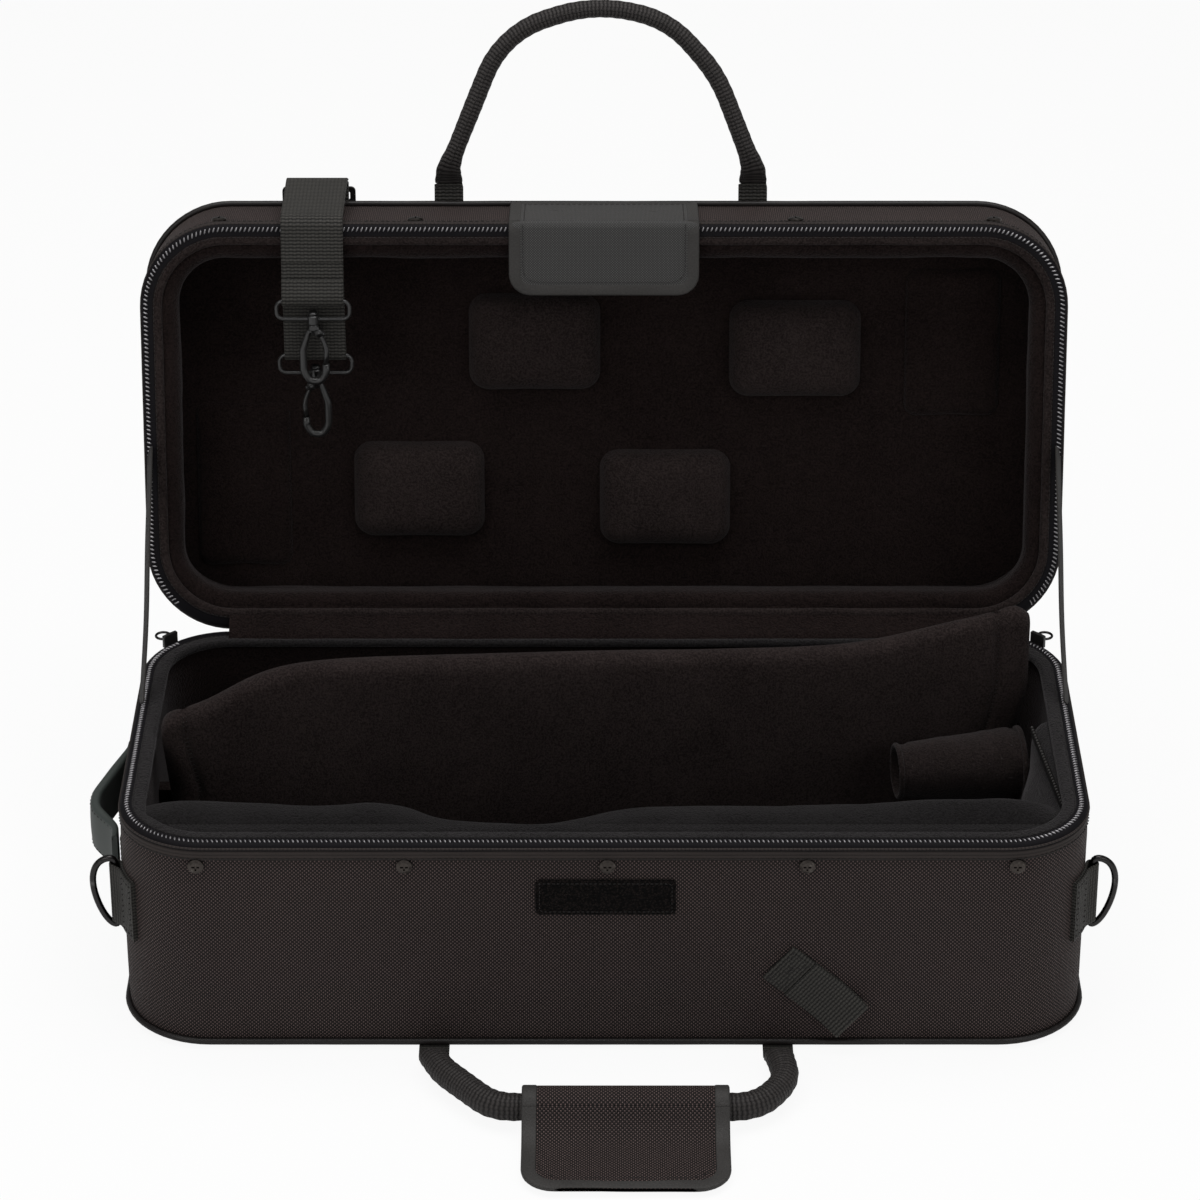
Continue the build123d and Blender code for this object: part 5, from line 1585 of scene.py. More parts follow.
@dataclass
class LidPadding:
    """Bolster, linings, pads and panels inside the lid."""

    pads: tuple = ((-43.7, 172.7), (120.1, 168.2), (-117.1, 77.0), (38.7, 71.7))
    panels: tuple = ((219.0, 172.0, 96.0), (-228.0, 80.0, 108.0))

    def dress(self) -> None:
        """Builds every soft piece of the lid's inside."""
        ceiling = slab_piece("lid_ceiling_plush", PLUSH, SIZES.lining_in + 0.2, SIZES.lid_ceiling,
                             SIZES.lid_height - SIZES.lining_in, Half.LID.seat, puff=0.2, seed=21.0)
        settle(ceiling, "lid", "plush", "lid_lining", fill=0.4)
        wall = strip_profile(SIZES.lining_in, SIZES.lining_out + 0.8, 24.4, SIZES.lid_ceiling - 0.3, 2.6, 8, 3)
        settle(hoop(wall, 0.6, 40.0, 8.0).piece("lid_wall_plush", PLUSH, Half.LID.seat), "lid", "plush", fill=0.5)
        self.bolster()
        self.cushions()

    def bolster(self) -> None:
        """Rolled bolster round the rim, soft and slightly uneven."""
        section = rounded_section(20.6, 16.2, 7.6, 7, 6)
        section = np.stack([14.1 + section[:, 1], 13.7 + section[:, 0]], axis=1)
        points = PLAN.ring(section[:, 0], section[:, 1])
        middle = np.array([14.1, 13.7])
        arm = section - middle
        arm = arm / np.linalg.norm(arm, axis=1)[:, None]
        swell = wobble(points, 0.9, 42.0, 14.0) + wobble(points, 0.45, 15.0, 3.0)
        inward = section[:, 0] > 8.0
        swell = swell * inward[None]
        points[..., :2] -= PLAN.out[:, None] * (arm[:, 0] * swell)[..., None]
        points[..., 2] += arm[:, 1] * swell
        made = Mesher()
        made.grid(points, PLAN.run, arc_lengths(np.vstack([section, section[:1]])), close_i=True, close_j=True)
        settle(made.piece("lid_roll", PLUSH, Half.LID.seat), "lid", "plush", "lid_bolster", fill=0.8)

    def cushions(self) -> None:
        """Four sewn pads and two thin end panels on the ceiling."""
        level = SIZES.lid_ceiling + 0.3
        made = Mesher()
        for k, (x, s) in enumerate(self.pads):
            pillow((x, SIZES.half_y - s, level), (83.0, 62.0, 16.0), 12.0, PLUSH_PAINTED_LIGHTER, "", stay, -1.0, 4.2, 0.3,
                   float(k) * 3 + 1, made)
        settle(made.piece("lid_cushions", PLUSH_PAINTED_LIGHTER, Half.LID.seat), "lid", "plush", "lid_pads", fill=0.7)
        made = Mesher()
        for k, (x, s, length) in enumerate(self.panels):
            pillow((x, SIZES.half_y - s, level), (60.0, length, 4.0), 8.0, PLUSH, "", stay, -1.0, 12.0, 0.6,
                   float(k) * 5 + 2, made)
        settle(made.piece("lid_end_plush", PLUSH, Half.LID.seat), "lid", "plush", "lid_end_panels", fill=0.3)


# ---------------------------------------------------------------- sewn strips, leaves and ropes
@dataclass
class Leaf:
    """A flat sewn leaf: rounded plate, bound edge and rows of stitches.

    Its local frame has a across, b along and c out of its face, from its back at c 0.
    """

    name: str
    width: float
    length: float
    thick: float
    place: Callable[[Array], Array]
    body: str
    corner_near: float = 0.8
    corner_far: float = 0.8
    wave: float = 0.0
    wave_size: float = 30.0
    seed: float = 0.0

    def ring(self, draw: float) -> Array:
        """Outline drawn in by a distance, with a middle at (0, length / 2)."""
        w, b = self.width / 2 - draw, self.length / 2 - draw
        out: list = []
        spots = ((1, -1, self.corner_near), (1, 1, self.corner_far), (-1, 1, self.corner_far),
                 (-1, -1, self.corner_near))
        for k, (sx, sy, corner) in enumerate(spots):
            r = max(0.15, min(corner - draw, w - 0.05, b - 0.05))
            steps = 6 if corner > 3 else 2
            for n in range(steps + 1):
                a = math.radians(-90 + 90 * k + 90 * n / steps)
                out.append((sx * (w - r) + r * math.cos(a), sy * (b - r) + r * math.sin(a)))
        return np.array(out)

    def lift(self, points: Array) -> Array:
        """Moves local points with the leaf's slow wave and places them."""
        out = points.copy()
        if self.wave:
            out[..., 2] = out[..., 2] + wobble(points * np.array([1, 1, 0.0]), self.wave, self.wave_size, self.seed)
        return self.place(out)

    def outline(self, draw: float, step: float = 3.0) -> Array:
        """Closed line of local points drawn in by a distance, at even steps."""
        ring = self.ring(draw) + np.array([0.0, self.length / 2])
        closed = np.vstack([ring, ring[:1]])
        run = arc_lengths(closed)
        want = np.linspace(0, run[-1], max(16, int(run[-1] / step)), endpoint=False)
        return np.stack([np.interp(want, run, closed[:, k]) for k in range(2)], axis=1)

    def plate(self, finish: Finish, slot: str, *nodes: str, crown: float = 0.25, fill: Optional[float] = None,
              rows: int = 1) -> bpy.types.Object:
        """The leaf itself, with a rounded edge and a slightly crowned face.

        Args:
            finish: its finish.
            slot: its material slot.
            nodes: the CAD nodes that it stands for.
            crown: how far its face swells.
            fill: how tight it is padded, or None.
            rows: 1 for rings round its middle, more for straight rows that can follow a fold.

        Returns:
            The piece.
        """
        if rows > 1:
            return self.folded_plate(finish, slot, rows, crown, *nodes)
        t = self.thick
        limit = min(self.width, self.length) / 2 - 0.3
        r = min(t / 2, 1.2)
        draws = [limit, limit * 0.75, limit * 0.5, limit * 0.25, r * 1.6]
        profile = [(d, t + crown * min(1.0, d / 12.0) ** 0.5) for d in draws]
        profile += [(r * (1 - math.sin(a)), t - r * (1 - math.cos(a))) for a in np.radians((15, 40, 65, 90))]
        profile += [(r * (1 - math.sin(a)), r * (1 - math.cos(a))) for a in np.radians((90, 55, 20))]
        profile += [(d, 0.0) for d in reversed(draws)]
        count = len(self.outline(0.0))
        rows = []
        for d, c in profile:
            ring = self.ring(d) + np.array([0.0, self.length / 2])
            closed = np.vstack([ring, ring[:1]])
            run = arc_lengths(closed)
            want = np.linspace(0, run[-1], count, endpoint=False)
            flat = np.stack([np.interp(want, run, closed[:, k]) for k in range(2)], axis=1)
            rows.append(np.column_stack([flat, np.full(count, c)]))
        points = np.array(rows)
        made = Mesher()
        first = made.grid(self.lift(points), np.arange(len(points)) * 1.0, np.arange(count + 1) * 1.0, close_j=True)
        local = points[..., :2].reshape(-1, 2)
        made.uvs = []
        for face in made.faces:
            made.uvs += [tuple(local[index - first]) for index in face]
        made.cap([first + j for j in range(count)])
        made.cap([first + (len(points) - 1) * count + j for j in range(count)])
        return settle(made.piece(self.name, finish), self.body, slot, *nodes, fill=fill)

    def folded_plate(self, finish: Finish, slot: str, rows: int, crown: float, *nodes: str) -> bpy.types.Object:
        """The leaf as straight rows across, so its near part can bend over what it covers."""
        near = np.linspace(0.0, 0.4, rows)
        far = np.linspace(0.4, 1.0, 2 * rows)[1:]
        corner = self.corner_far
        stations = np.concatenate([near, far]) * (self.length - corner)
        bend = self.length - corner + corner * np.sin(np.radians(np.linspace(0, 90, 9)[1:]))
        stations = np.concatenate([stations, bend])
        beyond = np.clip((stations - (self.length - corner)) / corner, 0.0, 0.9999)
        half = self.width / 2 - corner * (1 - np.sqrt(1 - beyond**2))
        share = np.linspace(-1, 1, 25)
        edge = np.sqrt(np.maximum(0.0, 1 - np.abs(share) ** 24))
        points = np.zeros((len(stations), 2 * len(share), 3))
        for k, (b, w) in enumerate(zip(stations, half)):
            near_edge = min(1.0, max(0.0, self.length - b) / 10.0) ** 0.5
            lift = self.thick * (0.5 + 0.5 * edge) + crown * np.maximum(0.0, 1 - share**4) * near_edge
            points[k, :25] = np.column_stack([share * w, np.full(25, b), lift])
            points[k, 25:] = np.column_stack([share[::-1] * w, np.full(25, b), self.thick * (0.5 - 0.5 * edge)])
        made = Mesher()
        m = points.shape[1]
        placed = self.lift(points)
        first = made.grid(placed, stations, np.arange(m + 1) * 1.0, close_j=True)
        points[..., 1] = arc_lengths(placed[:, 12])[:, None]
        local = points[..., :2].reshape(-1, 2)
        made.uvs = [tuple(local[index - first]) for face in made.faces for index in face]
        made.cap([first + j for j in range(m)])
        made.cap([first + (len(stations) - 1) * m + j for j in range(m)])
        return settle(made.piece(self.name, finish), self.body, slot, *nodes)

    def side_tapes(self, finish: Finish, slot: str, width: float, proud: float) -> bpy.types.Object:
        """Tape folded over the two sides only."""
        made = Mesher()
        height = self.thick + 2 * proud
        for sign in (-1.0, 1.0):
            along = np.linspace(0.2, self.length, 14)
            path = np.column_stack([np.full(14, sign * (self.width / 2 - width / 2 + 0.4)), along,
                                    np.full(14, self.thick / 2)])
            made.tube(path, rounded_section(width, height, height / 2.4, 3), np.tile([1.0, 0, 0], (14, 1)),
                      np.tile([0.0, 0, 1.0], (14, 1)))
        made.points = [self.lift(p) for p in made.points]
        return settle(made.piece(self.name + "_tapes", finish, swap=True), self.body, slot)

    def three_sides(self, draw: float) -> Array:
        """Line drawn in from the two sides and the far end."""
        w, far, r = self.width / 2 - draw, self.length - draw, max(1.0, self.corner_far - draw * 0.5)
        turn = np.radians(np.linspace(0, 90, 6))
        right = np.column_stack([w - r + r * np.cos(turn), far - r + r * np.sin(turn)])
        left = right[::-1] * np.array([-1.0, 1.0])
        return np.vstack([[(w, 3.0)], right, left, [(-w, 3.0)]])

    def binding(self, finish: Finish, slot: str, width: float = 7.0, proud: float = 0.35,
                open_near: bool = False) -> None:
        """Folded tape round the edge, left open along the sewn side where asked."""
        draw = width / 2 - 0.4
        line = self.outline(draw, 2.5)
        height = self.thick + 2 * proud
        section = rounded_section(width, height, height / 2.4, 3)
        if open_near:
            keep = line[:, 1] > draw + 0.6
            start = int(np.flatnonzero(keep & ~np.roll(keep, 1))[0])
            line = np.roll(line, -start, axis=0)[: int(keep.sum())]
            ends = [line[0] * [1, 0] + [0, 0.4], line[-1] * [1, 0] + [0, 0.4]]
            line = np.vstack([ends[:1], line, ends[1:]])
        else:
            line = np.vstack([line, line[:1]])
        steps = np.gradient(line, axis=0)
        if not open_near:
            steps[0] = steps[-1] = line[1] - line[-2]
        along = steps / np.linalg.norm(steps, axis=1)[:, None]
        side = np.column_stack([along[:, 1], -along[:, 0], np.zeros(len(line))])
        path = np.column_stack([line, np.full(len(line), self.thick / 2)])
        made = Mesher()
        made.tube(path, section, side, np.tile([0.0, 0, 1.0], (len(line), 1)))
        made.points = [self.lift(p) for p in made.points]
        settle(made.piece(self.name + "_binding", finish, swap=True), self.body, slot)

    def stitches(self, slot: str, lines: Sequence[Array], bead: BeadRow = STITCH, rise: float = 0.15) -> None:
        """Rows of stitches on the face; each line is (n, 2) in the local frame."""
        rows = []
        for line in lines:
            dense = []
            for p, q in zip(line[:-1], line[1:]):
                count = max(1, int(np.linalg.norm(np.subtract(q, p)) / 3.0))
                dense.extend(np.asarray(p) + (np.asarray(q) - np.asarray(p)) * k / count for k in range(count))
            dense.append(np.asarray(line[-1]))
            flat = np.array(dense)
            rows.append(np.column_stack([flat, np.full(len(flat), self.thick + rise)]))
        made = bead.along(self.name + "_stitches", rows, THREAD, self.lift)
        settle(made, self.body, slot)

    def frame_line(self, draw: float) -> Array:
        """Closed outline drawn in, for a row of stitches."""
        line = self.outline(draw)
        return np.vstack([line, line[:1]])

    def box_cross(self, near: float, far: float, draw: float) -> list[Array]:
        """Box and cross of stitches between two lengths."""
        w = self.width / 2 - draw
        a, b, c, d = (-w, near), (w, near), (w, far), (-w, far)
        return [np.array([a, b, c, d, a]), np.array([a, c]), np.array([b, d])]


def flat_strip(name: str, path: Array, across: Sequence[float], width: float, thick: float, finish: Finish,
               body: Optional[str], slot: str, *nodes: str, seat: Callable[[Array], Array] = stay,
               edge: float = 0.5, wave: float = 0.0, seed: float = 0.0) -> bpy.types.Object:
    """A strip of webbing of constant width along a path in the plane normal to its width.

    Args:
        name: the piece's name.
        path: (n, 3) middle line in mm.
        across: unit vector of its width.
        width: its width.
        thick: its thickness.
        finish: its finish.
        body: the body it rides on.
        slot: its slot.
        nodes: nodes that it replaces.
        seat: moves it to the case's frame.
        edge: rounding of its selvedge.
        wave: how far it is uneven.
        seed: which pattern.

    Returns:
        The piece.
    """
    steps = np.gradient(path, axis=0)
    steps = steps / np.linalg.norm(steps, axis=1)[:, None]
    side = np.tile(np.asarray(across, float), (len(path), 1))
    up = np.cross(side, steps)
    up = up / np.linalg.norm(up, axis=1)[:, None]
    section = rounded_section(width, thick, min(edge, thick / 2 - 0.05), 2, 10)
    made = Mesher()
    if wave:
        path = path + up * wobble(path, wave, 38.0, seed)[:, None]
    made.tube(path, section, side, up)
    return settle(made.piece(name, finish, seat, swap=True), body, slot, *nodes)


@dataclass
class RopeHandle:
    """Webbing rolled into a rope, with flat sewn roots."""

    name: str
    body: str
    node: str
    points: Sequence[Sequence[float]]
    radii: Sequence[float]
    radius: float
    level: float
    seat: Callable[[Array], Array]
    root_y: float = -143.3
    root_level: float = 1.6
    root_width: float = 17.0
    seed: float = 0.0

    def centre_line(self) -> tuple[Array, Array]:
        """Middle line of the rope and the share of roundness at each point."""
        flat = filleted([(x, y, self.level) for x, y in self.points], self.radii, 2.6)
        (x0, _), (x1, _) = self.points[0], self.points[-1]
        ends = []
        for x, first in ((x0, flat[0]), (x1, flat[-1])):
            t = np.linspace(0, 1, 9)[:-1]
            ease = t * t * (3 - 2 * t)
            ends.append(np.column_stack([np.full(8, x), self.root_y + (first[1] - self.root_y) * t,
                                         self.root_level + (self.level - self.root_level) * ease]))
        line = np.vstack([ends[0], flat, ends[1][::-1]])
        for _ in range(6):
            line[1:-1] = line[1:-1] * 0.5 + (line[:-2] + line[2:]) * 0.25
        run = arc_lengths(line)
        from_end = np.minimum(run, run[-1] - run)
        return line, np.clip(from_end / 26.0, 0, 1)

    def make(self) -> None:
        """Builds the rope, its overlapping seam and the stitches of the roots."""
        line, roundness = self.centre_line()
        steps = np.gradient(line, axis=0)
        steps = steps / np.linalg.norm(steps, axis=1)[:, None]
        up_hint = np.tile([0.0, 0, 1.0], (len(line), 1))
        side = np.cross(steps, up_hint)
        side = side / np.linalg.norm(side, axis=1)[:, None]
        up = np.cross(side, steps)
        turn = np.radians(np.arange(0, 360, 15.0))
        sections = []
        for share in roundness:
            ease = share * share * (3 - 2 * share)
            half_w = self.root_width / 2 + (self.radius - self.root_width / 2) * ease
            half_h = 1.2 + (self.radius - 1.2) * ease
            power = 0.3 + 0.7 * ease
            c, s = np.cos(turn), np.sin(turn)
            sections.append(np.column_stack([half_w * np.sign(c) * np.abs(c) ** power,
                                             half_h * np.sign(s) * np.abs(s) ** power]))
        sections = np.array(sections)
        uneven = wobble(line, 0.035, 24.0, self.seed) + 1.0 + 0.022 * np.sin(arc_lengths(line) * 0.85)
        sections = sections * uneven[:, None, None]
        made = Mesher()
        made.tube(line, sections, side, up)
        piece = made.piece(self.name + "_rope", ROPE_WEB, self.seat, swap=True)
        settle(piece, self.body, "webbing", self.node)
        seam = line + up * (sections[:, 6, 1] + 0.1)[:, None]
        inner = seam[(roundness > 0.6)]
        rows = [inner]
        for end in (slice(1, 7), slice(len(line) - 7, len(line) - 1)):
            part = line[end]
            widths = sections[end, 0, 0]
            tops = sections[end, 6, 1] + 0.1
            for lean in (-0.72, 0.72):
                rows.append(part + side[end] * (widths * lean)[:, None] + up[end] * tops[:, None])
        stitched = STITCH.along(self.name + "_stitches", rows, THREAD, self.seat)
        settle(stitched, self.body, "webbing")


@dataclass
class CarryGear:
    """Handles, side grip, D-ring webbing, tab, patch and flap on the outside."""

    base_roots: tuple[float, float] = (-100.5, 103.0)
    lid_roots: tuple[float, float] = (-97.0, 93.0)
    wrap_x: float = 12.5
    wrap_y: float = -208.4
    wrap_level: float = 11.8

    def dress(self) -> None:
        """Builds every soft piece of the outside."""
        self.handles()
        self.hand_wrap()
        self.side_grip()
        self.ring_webbing()
        self.tab_and_patch()
        self.flap()
        self.ribbons()
        self.hinge()

    @staticmethod
    def lid_outer(points: Array) -> Array:
        """Places points whose z is measured from the lid's outer panel."""
        out = points.copy()
        out[..., 2] = SIZES.lid_height - points[..., 2]
        return Half.LID.seat(out)

    def handles(self) -> None:
        """The two rope handles and their sewn stubs."""
        RopeHandle("base_handle", "base_handle", "base_handle",
                   ((-100.5, -157.15), (-93.4, -172.4), (-63.9, -208.4), (88.8, -208.4), (107.1, -181.0),
                    (103.0, -157.15)), (24, 24, 26, 30), 8.1, 11.8, stay, seed=3.0).make()
        RopeHandle("lid_handle", "lid_handle", "lid_handle",
                   ((-97.0, -153.3), (-62.8, -238.1), (-5.8, -256.15), (39.8, -246.0), (70.2, -212.1),
                    (93.0, -153.3)), (60, 90, 60, 90), 5.6, 6.5, self.lid_outer, seed=8.0).make()
        for body, roots, seat in (("base", self.base_roots, stay), ("lid", self.lid_roots, self.lid_outer)):
            for k, x in enumerate(roots):
                def place(points: Array, x: float = x, seat: Callable = seat) -> Array:
                    """Lays the stub against the panel, in front of the wall."""
                    out = np.empty_like(points)
                    out[..., 0] = x + points[..., 0]
                    out[..., 1] = -125.4 - points[..., 1]
                    out[..., 2] = 0.15 + points[..., 2]
                    return seat(out)

                leaf = Leaf(f"{body}_stub_{k}", 18.0, 17.5, 1.9, place, body)
                nodes = (f"{body}_handle_stubs",) if k == 0 else ()
                leaf.plate(WEBBING, "webbing", *nodes, crown=0.0)
                leaf.stitches("webbing", [np.array([(-7, 12), (7, 12)]), np.array([(-7, 15), (7, 15)])])

    def hand_wrap(self) -> None:
        """Sleeve and two bound leaves of the hand wrap."""
        y, z, outer, bore = self.wrap_y, self.wrap_level, 9.6, 8.3
        stations = np.linspace(-59, 59, 26)
        angle = np.radians(np.linspace(-90, 228, 30))
        ring = np.column_stack([outer * np.cos(angle), outer * np.sin(angle)])
        hole = np.radians(np.linspace(228, -90, 30))
        inside = np.column_stack([bore * np.cos(hole), bore * np.sin(hole)])
        section = np.vstack([ring, inside])
        points = np.empty((len(stations), len(section), 3))
        points[..., 0] = self.wrap_x + stations[:, None]
        points[..., 1] = y + section[:, 0]
        points[..., 2] = z + section[:, 1]
        points[:, :30, 1:] += (section[:30] / outer)[None] * wobble(points[:, :30], 0.35, 26.0, 5.0)[..., None]
        points[..., 2] = np.maximum(points[..., 2], 0.05)
        made = Mesher()
        m = len(section)
        first = made.grid(points, stations - stations[0], arc_lengths(np.vstack([section, section[:1]])),
                          close_j=True)
        for row in (0, len(stations) - 1):
            for k in range(29):
                loop = [k, k + 1, m - 2 - k, m - 1 - k]
                made.faces.append([first + row * m + j for j in loop])
                made.uvs += [tuple(section[j]) for j in loop]
        sleeve = made.piece("wrap_sleeve", NYLON)
        settle(sleeve, "base_handle", "nylon", "hand_wrap")

        def lower(points: Array) -> Array:
            """Lays the lower leaf on the ground, ahead of the rope."""
            out = np.empty_like(points)
            out[..., 0] = self.wrap_x + points[..., 0]
            out[..., 1] = y - points[..., 1]
            out[..., 2] = 0.35 + points[..., 2]
            return out

        bend = np.radians(np.linspace(-34.0, 52.0, 18))
        hug, level = outer + 0.45, 3.35
        over = np.column_stack([np.zeros(18), y - hug * np.sin(bend), z + hug * np.cos(bend)])
        foot = over[-1, 1] - (over[-1, 2] - level) / math.tan(bend[-1])
        fall = filleted([tuple(over[-1]), (0.0, foot, level), (0.0, y - 71.0, level)], [26], 2.0)
        path = np.vstack([over, fall[1:]])
        run = arc_lengths(path)
        steps = np.gradient(path, axis=0)
        steps /= np.linalg.norm(steps, axis=1)[:, None]
        saddle = float(run[17])

        def over_rope(start: float) -> Callable[[Array], Array]:
            """Makes a placer that follows the sleeve and then the ground."""
            def place(points: Array) -> Array:
                """Lays local points on the path."""
                out = np.empty_like(points)
                at = points[..., 1] + start
                out[..., 0] = self.wrap_x + points[..., 0]
                out[..., 1] = np.interp(at, run, path[:, 1]) + points[..., 2] * np.interp(at, run, steps[:, 2])
                out[..., 2] = np.interp(at, run, path[:, 2]) - points[..., 2] * np.interp(at, run, steps[:, 1])
                return out
            return place

        low = Leaf("wrap_lower", 117.0, 67.0, 2.4, lower, "base_handle", corner_far=19.0)
        low.plate(NYLON, "nylon", crown=0.0)
        low.binding(BINDING, "coated_nylon", 8.0, 0.15, True)
        root = Leaf("wrap_saddle", 119.0, saddle + 0.2, 2.3, over_rope(0.0), None, corner_far=0.5)
        pieces = (root.plate(NYLON, "nylon", crown=0.0, rows=10),
                  root.side_tapes(BINDING, "coated_nylon", 9.0, 0.4))
        for piece in pieces:
            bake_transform(piece)
        top = Leaf("wrap_upper", 119.0, float(run[-1]) - saddle, 2.3, over_rope(saddle), "wrap_leaf",
                   corner_far=19.0, wave=0.6, seed=2.0)
        top.plate(NYLON, "nylon", "hand_wrap_leaf", crown=0.5, rows=14)
        top.binding(BINDING, "coated_nylon", 9.0, 0.4, True)
        top.stitches("coated_nylon", [top.three_sides(9.6)], FINE_STITCH, 0.55)

    def side_grip(self) -> None:
        """Padded leather grip on the left end, with stitched edges."""
        wall, out, z = -288.3 - 3.0, -306.8, 92.0
        back, front = 50.0, -66.0
        line = filleted([(wall, back - 2, z), (wall, back - 9, z), (out, back - 62, z), (out, front + 38, z),
                         (wall, front + 14, z), (wall, front + 2, z)], [10, 24, 24, 16], 3.0)
        for _ in range(5):
            line[1:-1] = line[1:-1] * 0.5 + (line[:-2] + line[2:]) * 0.25
        steps = np.gradient(line, axis=0)
        steps = steps / np.linalg.norm(steps, axis=1)[:, None]
        side = np.tile([0.0, 0, 1.0], (len(line), 1))
        up = np.cross(side, steps)
        up *= np.sign(-up[:, :1])
        run = arc_lengths(line)
        from_end = np.minimum(run, run[-1] - run)
        sections = []
        for d in from_end:
            full = 0.55 + 0.45 * min(1.0, d / 30.0)
            ring = rounded_section(30.0, 6.0 * full, 2.4 * full, 4, 8)
            dome = 1 + 0.22 * full * np.cos(ring[:, 0] / 15.0 * math.pi / 2)
            ring[:, 1] = ring[:, 1] * np.where(ring[:, 1] > 0, dome, 1.0)
            sections.append(ring)
        made = Mesher()
        made.tube(line, np.array(sections), side, up)
        settle(made.piece("grip_pad", GRIP, swap=True), "base", "grip_leather", "side_grip", fill=0.7)
        rows = []
        for edge in (-12.4, 12.4):
            rise = np.array([s[:, 1].max() for s in sections]) * 0.93
            rows.append(line + side * edge + up * (rise - 0.35)[:, None])

        bead = BeadRow(Bead.STITCH, 4.0, 3.0, 1.0, 1.0)
        settle(bead.along("grip_stitches", rows, THREAD), "base", "grip_leather")
        for k, (start, node) in enumerate(((32.0, "side_grip_anchors"), (-66.0, ""))):
            def anchor(points: Array, start: float = start) -> Array:
                """Stands the anchor on the left wall."""
                spot = np.empty_like(points)
                spot[..., 0] = -285.0 - points[..., 2]
                spot[..., 1] = start + points[..., 1]
                spot[..., 2] = z + points[..., 0]
                return spot

            leaf = Leaf(f"grip_anchor_{k}", 30.0, 18.0, 2.8, anchor, "base")
            leaf.plate(WEBBING, "webbing", *([node] if node else []), crown=0.0)
            leaf.stitches("webbing", leaf.box_cross(3.0, 15.0, 3.0))

    def ring_webbing(self) -> None:
        """Webbing folded round each D-ring's bar and sewn round the corner."""
        bar_reach, bar_angle = 56.3, -8.0
        wrap = 2.5 + 0.8
        inner, outer_lay = 52.9, 54.5

        def polar(radius: float, degrees: float) -> tuple[float, float]:
            """Point round the corner's centre."""
            a = math.radians(degrees)
            return 233.0 + radius * math.cos(a), -77.0 + radius * math.sin(a)

        bar = np.array(polar(bar_reach, bar_angle))
        line = [polar(inner, d) for d in np.linspace(-36, bar_angle - 1.5, 14)]
        line += [tuple(bar + wrap * np.array([math.cos(math.radians(bar_angle + a)),
                                              math.sin(math.radians(bar_angle + a))]))
                 for a in np.linspace(180, -28, 16)]
        line += [polar(outer_lay + 2.2, bar_angle - 4.6), polar(outer_lay + 0.7, bar_angle - 7.0)]
        line += [polar(outer_lay, d) for d in np.linspace(bar_angle - 10, -36, 12)]
        right = np.array([(x, y, 81.0) for x, y in line])
        left = right[::-1] * np.array([-1.0, 1.0, 1.0])
        for k, (side, path) in enumerate((("right", right), ("left", left))):
            nodes = ("dring_webbing",) if k == 0 else ()
            flat_strip(f"ring_webbing_{side}", path, (0, 0, 1.0), 40.0, 1.45, WEBBING, "base", "webbing", *nodes)
            sign = 1.0 if side == "right" else -1.0
            rows = []
            for degrees in (-22.0, -33.5):
                x, y = polar(outer_lay + 0.85, degrees)
                rows.append(np.array([(sign * x, y, z) for z in np.linspace(64, 98, 14)]))
            for z in (64.0, 98.0):
                rows.append(np.array([(sign * polar(outer_lay + 0.85, d)[0], polar(outer_lay + 0.85, d)[1], z)
                                      for d in np.linspace(-22, -33.5, 6)]))
            settle(STITCH.along(f"ring_stitches_{side}", rows, THREAD), "base", "webbing")

    def tab_and_patch(self) -> None:
        """Webbing tab and loop patch on the front."""
        turn = math.radians(40.5)
        along = np.array([math.cos(turn), 0.0, -math.sin(turn)])
        across = np.array([math.sin(turn), 0.0, math.cos(turn)])
        origin = np.array([102.0, -129.0, 60.8])

        def on_front(shift: float, out: float) -> Callable[[Array], Array]:
            """Makes a placer for leaves laid along the tab."""
            def place(points: Array) -> Array:
                """Lays local points on the front wall."""
                return (origin + points[..., 1:2] * along + points[..., :1] * across + shift * along
                        + (points[..., 2:3] + out) * np.array([0.0, -1.0, 0.0]))
            return place

        sewn = Leaf("tab_root", 28.0, 18.2, 2.5, on_front(0.0, 0.1), "base")
        sewn.plate(WEBBING, "webbing", "tab_sewn_end", crown=0.1)
        sewn.stitches("webbing", sewn.box_cross(2.6, 15.4, 3.0))
        path = []
        low, high = 0.95, 2.45
        for s in np.linspace(17.4, 57.0, 16):
            path.append((s, low))
        for a in np.linspace(-80, 80, 7):
            path.append((57.2 + 0.75 * math.cos(math.radians(a)), (low + high) / 2 + 0.75 * math.sin(math.radians(a))))
        for s in np.linspace(57.0, 17.4, 16):
            path.append((s, high + 0.25 * math.sin((s - 18) / 40 * math.pi)))
        curl = [6.5 * max(0.0, (s - 34.0) / 24.0) ** 2 for s, _ in path]
        line = np.array([origin + s * along + (c + lift) * np.array([0.0, -1.0, 0.0])
                         for (s, c), lift in zip(path, curl)])
        flat_strip("tab_strip", line, across, 28.0, 1.4, WEBBING, "tab", "webbing", "tab_free_end")
        def patch_place(points: Array) -> Array:
            """Lays the patch on the front wall."""
            spot = np.empty_like(points)
            spot[..., 0] = 1.0 + points[..., 1] - 41.0
            spot[..., 1] = -129.05 - points[..., 2]
            spot[..., 2] = 105.0 + points[..., 0]
            return spot

        patch = Leaf("loop_field", 24.0, 82.0, 1.4, patch_place, "base", 2.0, 2.0, wave=0.15, seed=4.0)
        patch.plate(LOOPS, "loop_pile", "loop_patch", crown=0.25)
        patch.stitches("loop_pile", [patch.frame_line(2.4)], FINE_STITCH, 0.2)

    def flap(self) -> None:
        """Flap of coated nylon on the lid's front, with its tongue over the rim."""
        def sewn_place(points: Array) -> Array:
            """Stands the sewn part on the lid's front wall."""
            spot = np.empty_like(points)
            spot[..., 0] = points[..., 0]
            spot[..., 1] = -129.85 - points[..., 2]
            spot[..., 2] = -0.35 + points[..., 1]
            return Half.LID.seat(spot)

